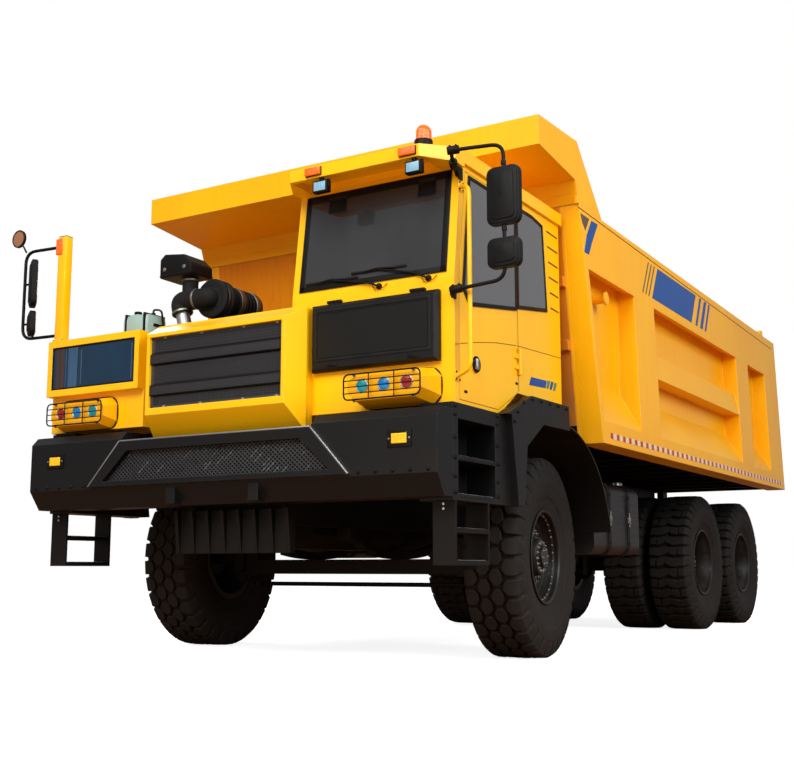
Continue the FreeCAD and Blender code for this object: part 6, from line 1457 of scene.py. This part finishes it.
# %% Reflecting tape
square_long, foot, top, pairs, pair_step = 55, 1845, 1895, 42, (0, 0.158, 0)
for side, sign in both_sides:
    bm = bmesh.new()
    for index, (y, finish) in enumerate(((760, tape_red), (838, tape_white))):
        seed = bmesh.new()
        end = y + square_long
        bed_film(seed, [(y, foot), (end, foot), (end, top), (y, top)], 0, sign)
        row = grown(seed, row_tree, Count=pairs, Step=pair_step, Finish=finish)
        joined(bm, row, finish=index)
    piece_from(f"reflecting_tape_{side}", bm, [tape_red, tape_white], "bed")

# %% [markdown]
# # Inside the cab
# The seat, the dashboard and the steering wheel are seen through the glass. The seat's pads
# are crowned closed forms: a grid whose two layers meet at the rim, drawn in along its seams,
# with piping round the rim. They are shaped directly, since the glass hides finer folds.

# %% Seat pads
def pad(bm, place, wide, deep, thick, seams=(), crown=0.35, steps=30):
    """Crowned cushion, closed at its rim; seams are shares of its half width, drawn in."""
    for side in (1, -1):
        rows = []
        for j in range(steps + 1):
            v = j / steps * 2 - 1
            row = []
            for i in range(steps + 1):
                u = i / steps * 2 - 1
                edge = max(0.0, (1 - abs(u) ** 8) * (1 - abs(v) ** 8)) ** 0.45
                lift = thick / 2 * edge * (1 + crown * (1 - u * u) * (1 - v * v)) / (1 + crown)
                lift -= sum(9 * math.exp(-((u - seam) / 0.035) ** 2) for seam in seams) * edge
                spot = Vector((u * wide / 2, v * deep / 2, side * lift)) / 1000
                row.append(bm.verts.new(place @ spot))
            rows.append(row)
        for here, after in zip(rows, rows[1:]):
            for i in range(steps):
                bm.faces.new([here[i], here[i + 1], after[i + 1], after[i]])
    corner = 0.985
    rim = [(a * wide / 2, b * deep / 2, 0) for a, b in ((0, -1), (corner, -1), (1, 1), (-1, 1), (-corner, -1))]
    line = [place @ (Vector(spot) / 1000) for spot in rim]
    swept(bm, line, 5, 8, 1, closed=True)


def stood(x, y, z, tilt):
    """Matrix of a pad at a point, tipped back by degrees about x."""
    return Matrix.Translation(at(x, y, z)) @ Matrix.Rotation(math.radians(tilt), 4, "X")


bm = bmesh.new()
pad(bm, stood(1300, -470, 2415, 4), 520, 520, 150, (-0.55, 0.0, 0.55))
pad(bm, stood(1300, -150, 2770, 82), 500, 700, 140, (-0.55, 0.0, 0.55))
pad(bm, stood(1300, -100, 3235, 84), 300, 210, 120, ())
seat_pads = piece_from("driver_seat_padded", bm, [canvas_grey, trim_plastic], "truck")

# %% [markdown]
# The dashboard is one moulded outline pushed across the cab, with a hood over its gauges, two
# rows of switches and air vents. The column stands out of it, and the lever by the seat is a
# bent bar with a knob.

# %% Dashboard, column and seat stand
bm = bmesh.new()
dash = [(-1652, 1912), (-1652, 2788), (-1462, 2788), (-1302, 2628), (-1302, 2302), (-1460, 1912)]
extruded(bm, dash, "x", 552, 1838, 14, 0)
hood = [(-1560, 2786), (-1330, 2700), (-1345, 2790), (-1420, 2850), (-1545, 2850)]
extruded(bm, hood, "x", 1090, 1510, 12, 0)
extruded(bm, [(-1352, 2690), (-1345, 2694), (-1380, 2800), (-1390, 2796)], "x", 1120, 1480, 2, 2)
for x in (1190, 1410):
    gauge = facing((x, -1362, 2745), (0, 0.93, 0.36))
    turned(bm, [(0, 0), (0, 58), (9, 58), (9, 52), (3, 50), (3, 0)], 28, gauge, 1)
for row, z in enumerate((2560, 2490)):
    for k in range(6):
        x = 640 + k * 62
        block(bm, (x, x + 44), (-1306, -1294), (z, z + 52), 5, 1)
for x in (600, 900, 1600, 1760):
    for k in range(4):
        block(bm, (x, x + 70), (-1305, -1298), (2398 + k * 16, 2406 + k * 16), 2, 2)
bar(bm, [(1300, -1330, 2560), (1300, -1034, 2795)], 28, 10, 20)
bar(bm, [(1300, -1100, 2740), (1460, -1080, 2760), (1500, -1070, 2775)], 9, 20, 10, 1)
block(bm, (1140, 1460), (-700, -230), (2120, 2150), 8, 0)
for k in range(6):
    fold, z = k % 2 * 10, 2150 + k * 28
    block(bm, span(1300, 135 - fold), span(-465, 205 - fold), (z, z + 27), 8, 1)
for x in (1020, 1560):
    block(bm, (x, x + 42), (-560, -230), (2570, 2610), 14, 1)
    bar(bm, [(x + 21, -200, 2400), (x + 21, -190, 2590)], 14, 10, 10, 0)
bar(bm, [(1700, -620, 2120), (1700, -700, 2500), (1690, -740, 2620)], 12, 60, 12)
turned(bm, [(-30, 0), (-26, 20), (0, 29), (24, 24), (32, 0)], 20, facing((1689, -744, 2636), (0, 0, 1)), 1)
for x in (1250, 1352):
    bar(bm, [(x, -118, 3080), (x, -108, 3180)], 8, 10, 8, 2)
block(bm, (552, 1884), (-1640, 170), (2112, 2121), 0, 0)
dash_finishes = [trim_plastic, tyre_rubber, edge_steel]
piece_from("dashboard_and_seat_stand", bm, dash_finishes, "truck", ("cab_interior",))

# %% [markdown]
# The steering wheel turns about its column, so it is its own piece on its own body. The grip
# is a ring turned about the column, and three spokes carry it.

# %% Steering wheel
column_way = Vector((0, 290, 230)).normalized()
hub_place = (1300, -1029.6, 2798.3)
bm = bmesh.new()
stand = facing(hub_place, column_way)
grip = [(15 * math.sin(k * math.pi / 6), 203 + 15 * math.cos(k * math.pi / 6)) for k in range(12)]
turned(bm, grip, 56, stand)
turned(bm, [(-12, 0), (-12, 46), (4, 50), (13, 40), (16, 22), (16, 0)], 28, stand, 0)
hub, across = Vector(hub_place), Vector((1, 0, 0))
for angle in (math.radians(30), math.radians(150), math.radians(270)):
    way = across * math.cos(angle) + column_way.cross(across) * math.sin(angle)
    bar(bm, [hub + way * 34, hub + way * 120 - column_way * 10, hub + way * 199], 9, 40, 10, 1)
piece_from("steering_wheel_grip", bm, [trim_plastic, edge_steel], "steering_wheel",
           ("steering_wheel",), 50)

# %% [markdown]
# # The cab's skin
# A pressed line runs across the door and the rear corner as a thin dark brown bar, which paints
# the shade in the crease. The handle sits in a round black cup, six slots air the rear corner
# with a painted shadow strip under each, and the glass has a dark printed border. A border is a
# flat strip between an outline and the same outline drawn in.

# %% Door, corner and glass details
def drawn_in(outline, inset):
    """Outline moved inwards by an inset; its corners keep their order."""
    count = len(outline)
    area = sum(a[0] * b[1] - b[0] * a[1] for a, b in zip(outline, outline[1:] + outline[:1]))
    side = 1 if area > 0 else -1
    moved = []
    for k in range(count):
        before, here, after = (Vector(outline[(k + step) % count]) for step in (-1, 0, 1))
        first, second = (here - before).normalized(), (after - here).normalized()
        inward = Vector((-first.y - second.y, first.x + second.x)) * side
        reach = inset * 2 / max(inward.length_squared, 0.4)
        moved.append(tuple(here + inward * reach))
    return moved


def fields(outline, inner):
    """Fields with four corners between an outline and one that lies inside it."""
    pairs = list(zip(outline, inner))
    return [(a, c, d, b) for (a, b), (c, d) in zip(pairs, pairs[1:] + pairs[:1])]


def border(bm, outline, inset, axis, low, high, finish=0):
    """Flat frame between an outline and the same outline drawn in, pushed along an axis."""
    for field in fields(outline, drawn_in(outline, inset)):
        extruded(bm, field, axis, low, high, 0, finish)


print("border helpers ready")

# %% Door details
sheet_x, glass_x = 1930.6, (1938.2, 1940.2)
window_low, window_top, front, back = 2610, 3600, -1585, -669
door_pane = [(front + 110, window_low), (back, window_low + 122), (back, window_top),
             (front + 110, window_top), (front, window_low + 110)]
bm = bmesh.new()
border(bm, door_pane, 30, "x", *glass_x)
turned(bm, [(0, 0), (0, 62), (9, 60), (11, 54), (6, 46), (2, 0)], 40, facing((1939, -1390, 2190), (1, 0, 0)), 0)
block(bm, (1942, 1962), (-1412, -1376), (2148, 2232), 7, 1)
block(bm, (1940, 1952), (-1372, -1350), (2176, 2204), 5, 0)
# The pressed line is a thin dark brown bar: painted shade in the crease.
crease = [(-1618, 2308), (-1390, 2355), (-1050, 2412), (-707, 2449), (-672, 2452)]
bar(bm, [(sheet_x, y, z) for y, z in crease], 2.6, 60, 6, 2)
for y, z in ((-1560, 1960), (-700, 2140)):
    block(bm, (1929.5, 1933), (y, y + 46), (z, z + 20), 2, 0)
piece_from("door_handle_and_borders", bm, [trim_plastic, edge_steel, seam_brown], "door")

# %% Rear corner of the cab
bm = bmesh.new()
quarter = [(-655, 2750), (-65, 2838), (-135, 3570), (-345, 3600), (-655, 3600)]
border(bm, quarter, 30, "x", *glass_x)
border(bm, [(-1480, 2750), (-120, 2750), (-120, 3600), (-1480, 3600)], 30, "x", 494.6, 496.8)
border(bm, [(770, 2770), (1680, 2770), (1680, 3530), (770, 3530)], 30, "y", 228.2, 230.2)
# Two slanted bars carry the pressed line on, dark brown as painted shade in its crease; the upright one is the
# gap behind the door.
for start, end, radius in (
    ((-655, 2454), (223, 2495), 2.6), ((-1698, 2290), (-1632, 2304), 2.6), ((-640, 2752), (-640, 2090), 2.2),
):
    bar(bm, [(sheet_x, *start), (sheet_x, *end)], radius, 10, 6, 1)
slots, slot_end = 6, 190
for k in range(slots):
    share = k / (slots - 1)
    y, z = -39 + 62 * share, 3551 - 655 * share
    # A thin dark strip under each louvre paints its shadow.
    extruded(bm, [(y, z), (slot_end, z - 8), (slot_end, z - 16), (y, z - 8)], "x", 1929.6, 1931.0, 0, 0)
    extruded(bm, [(y, z + 10), (slot_end, z + 2), (slot_end, z - 8), (y, z)], "x", 1929.6, 1937, 2, 2)
extruded(bm, [(-443, 2171), (-120, 2189), (-92, 2254), (-402, 2242)], "x", 1930.2, 1932, 0, 3)
for start, finish in ((-104, 4), (-34, 3), (36, 4)):
    mark = [(start, 2190), (start + 46, 2193), (start + 84, 2264), (start + 30, 2260)]
    extruded(bm, mark, "x", 1930.2, 1932, 0, finish)
corner_finishes = [trim_plastic, seam_brown, cab_yellow, stripe_blue, stripe_green]
piece_from("cab_corner_slots_and_borders", bm, corner_finishes, "truck")

# %% [markdown]
# The flap is a plain charcoal panel, so what shows of it is its raised inner frame, the line
# inside that, two catches at its foot and two blocks over its top edge.

# %% Flap frame and catches
bm = bmesh.new()
border(bm, [(766, 2256), (1772, 2256), (1772, 2650), (766, 2650)], 15, "y", -1773, -1767.6, 0)
border(bm, [(790, 2280), (1748, 2280), (1748, 2626), (790, 2626)], 5, "y", -1770, -1767.6, 1)
for x in (880, 1586):
    block(bm, (x, x + 84), (-1775, -1766), (2208, 2238), 5, 1)
    block(bm, (x + 22, x + 62), (-1781, -1774), (2214, 2232), 4, 1)
for x in (915, 1640):
    block(bm, span(x, 62), (-1737, -1700.5), (2703, 2726), 5, 1)
piece_from("flap_frame_and_catches", bm, [bumper_black, trim_plastic], "service_flap")

# %% [markdown]
# The cabinet's pane is a deep blue sheet with a black seal. Faint upright bands of brown and
# pale film stand in front of it, so that the large pane doesn't look empty.

# %% Cabinet pane
bm = bmesh.new()
block(bm, (-1879, -919), (-1931, -1928.4), (2233, 2601), 0, 0)
border(bm, [(-1880, 2232), (-918, 2232), (-918, 2602), (-1880, 2602)], 14, "y", -1936, -1930, 1)
for x0, x1, finish in ((-1836, -1800, 2), (-1786, -1740, 2), (-1722, -1716, 3), (-1690, -1584, 3)):
    block(bm, (x0, x1), (-1932, -1930.5), (2246, 2588), 0, finish)
for edge in ((-1540, -1532), (-960, -952)):
    block(bm, edge, (-1932, -1930.5), (2262, 2560), 0, 3)
film_brown = coated("pane_film_brown", "4A2E22", "33201A", "7C5A48", 0.35, wear_and_glint=0.2, radius=0.002,
                    dust=0.2, streaks=0.8)
film_pale = coated("pane_film_pale", "3E6484", "1C3E5C", "9CB8CC", 0.35, wear_and_glint=0.3, radius=0.002,
                   dust=0.4, streaks=1.0)
pane_finishes = [cabinet_pane, trim_plastic, film_brown, film_pale]
piece_from("cabinet_blue_pane", bm, pane_finishes, "truck")

# %% [markdown]
# A boot slips on a smooth step, so the treads have pressed studs. A stud is turned once, and
# the plate tree lays it out on the two wide steps and, in two rows, on the rungs below them.

# %% Step treads
def stud_plate(outline, columns, rows, pitch_x, pitch_z):
    """Plate of studs that point up."""
    stud = bmesh.new()
    turned(stud, outline, 8, Matrix.Rotation(-math.pi / 2, 4, "Y"))
    return plate_of(stud, columns, rows, pitch_x, pitch_z, 200, 200, edge_steel)


studs = stud_plate([(-3, 0), (-3, 5.5), (1.5, 5), (3, 3), (3, 0)], 13, 30, 17.5, 18.5)
rung_studs = stud_plate([(-2, 0), (-2, 5), (1.5, 4.6), (2.5, 3), (2.5, 0)], 2, 24, 130, 19.5)
for side, sign in both_sides:
    bm = bmesh.new()
    for z in (1225, 1490):
        x = sorted((sign * 1727, sign * 1967))
        block(bm, x, (-1734, -1151), (z + 0.3, z + 7), 2, 0)
        joined(bm, studs, Matrix.Translation(at(sign * 1847, -1442, z + 8)), 1)
        # Dark patches on the step's outer edge stand for its holes: painted shade.
        for hole_y in range(-1700, -1160, 60):
            block(bm, sorted((sign * 1968.6, sign * 1970)), (hole_y, hole_y + 34), (z - 20, z - 6), 0, 2)
    for z in (770, 992):
        x = sorted((sign * 1792, sign * 1967))
        block(bm, x, (-1758, -1282), (z + 0.3, z + 5), 2, 0)
        joined(bm, rung_studs, Matrix.Translation(at(sign * 1880, -1520, z + 6)), 1)
    for z in (1128, 1160):
        for y, way in ((-1784, -1), (-1260, 1)):
            screw(bm, facing((sign * 1880, y, z), (0, way, 0)), 12, 8, 6, 1)
    piece_from(f"step_treads_{side}", bm, [chassis_black, edge_steel, trim_plastic], "truck")

# %% [markdown]
# Bolt heads hold the fenders, the bumper's foot, the guard plate and the tank's straps. Each
# is only a point with the way that it looks, and the bolt tree puts a head and washer there.

# %% Bolts
places = []
for sign in (1, -1):
    face = sign * 2026
    arc = [(-930, 1820), (-860, 1900), (-760, 1985), (-590, 2030), (-420, 2032), (-250, 2034), (-80, 2036),
           (90, 2034)]
    places += [((face, y, z), (sign, 0, 0)) for y, z in arc]
    heights = (1240, 1350, 1480, 1620, 1780, 1840)
    places += [((sign * 1970, y, z), (sign, 0, 0)) for y in (-1775, -1110) for z in heights]
    places += [((sign * x, -2037, 1385), (0, -1, 0)) for x in (1340, 1480, 1620, 1760, 1900)]
    places += [((sign * 1803, y, z), (sign, 0, 0)) for y in (1630, 2150) for z in (960, 1410)]
bm = bmesh.new()
joined(bm, bolts(places, 24, 12, chassis_black), finish=0)
print("bolts:", len(places))
piece_from("bolt_heads", bm, [chassis_black], "truck")

# %% [markdown]
# The tank's straps are black bands with a rubber lining, closed by a draw bolt, and its cap
# has a grip. They lie over the plain straps of the CAD tank.

# %% Tank straps
tank_x, tank_z, tank_corner = (1060, 1790), (850, 1520), 90


def round_the_tank(out):
    """Points (x, z) round the tank's section, let out by an amount."""
    x, z = (tank_x[0] - out, tank_x[1] + out), (tank_z[0] - out, tank_z[1] + out)
    return rounded_box(*x, *z, tank_corner + out)


for side, sign in both_sides:
    bm = bmesh.new()
    for y in (1630, 2150):
        for half, out in ((36, 13), (26, 15.5)):
            for field in fields(round_the_tank(out), round_the_tank(8)):
                extruded(bm, [(sign * x, z) for x, z in field], "y", y - half, y + half)
        block(bm, sorted((sign * 1800, sign * 1822)), span(y, 24), (1150, 1215), 5, 1)
        bar(bm, [(sign * 1812, y, 1120), (sign * 1812, y, 1260)], 7, 5, 8, 1)
    cap = facing((sign * 1610, 2330, 1519), (0, 0, 1))
    turned(bm, [(0, 0), (0, 52), (22, 52), (26, 66), (52, 66), (60, 60), (61, 0)], 32, cap, 1)
    for k in range(12):
        angle = k * math.pi / 6
        spot_x, spot_y = sign * 1610 + 66 * math.cos(angle), 2330 + 66 * math.sin(angle)
        block(bm, span(spot_x, 4), span(spot_y, 4), (1548, 1570), 0, 1)
    piece_from(f"tank_straps_{side}", bm, [chassis_black, bolt_zinc], "truck")

# %% [markdown]
# # Check and finish
# The box of the dressed truck is compared with the CAD's, because nothing rigid may grow past
# it.

# %% Sizes and finish
new_low, new_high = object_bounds()
for axis in range(3):
    below, above = cad_low[axis] - new_low[axis], new_high[axis] - cad_high[axis]
    print("xyz"[axis], "grows by", round(below, 4), round(above, 4))
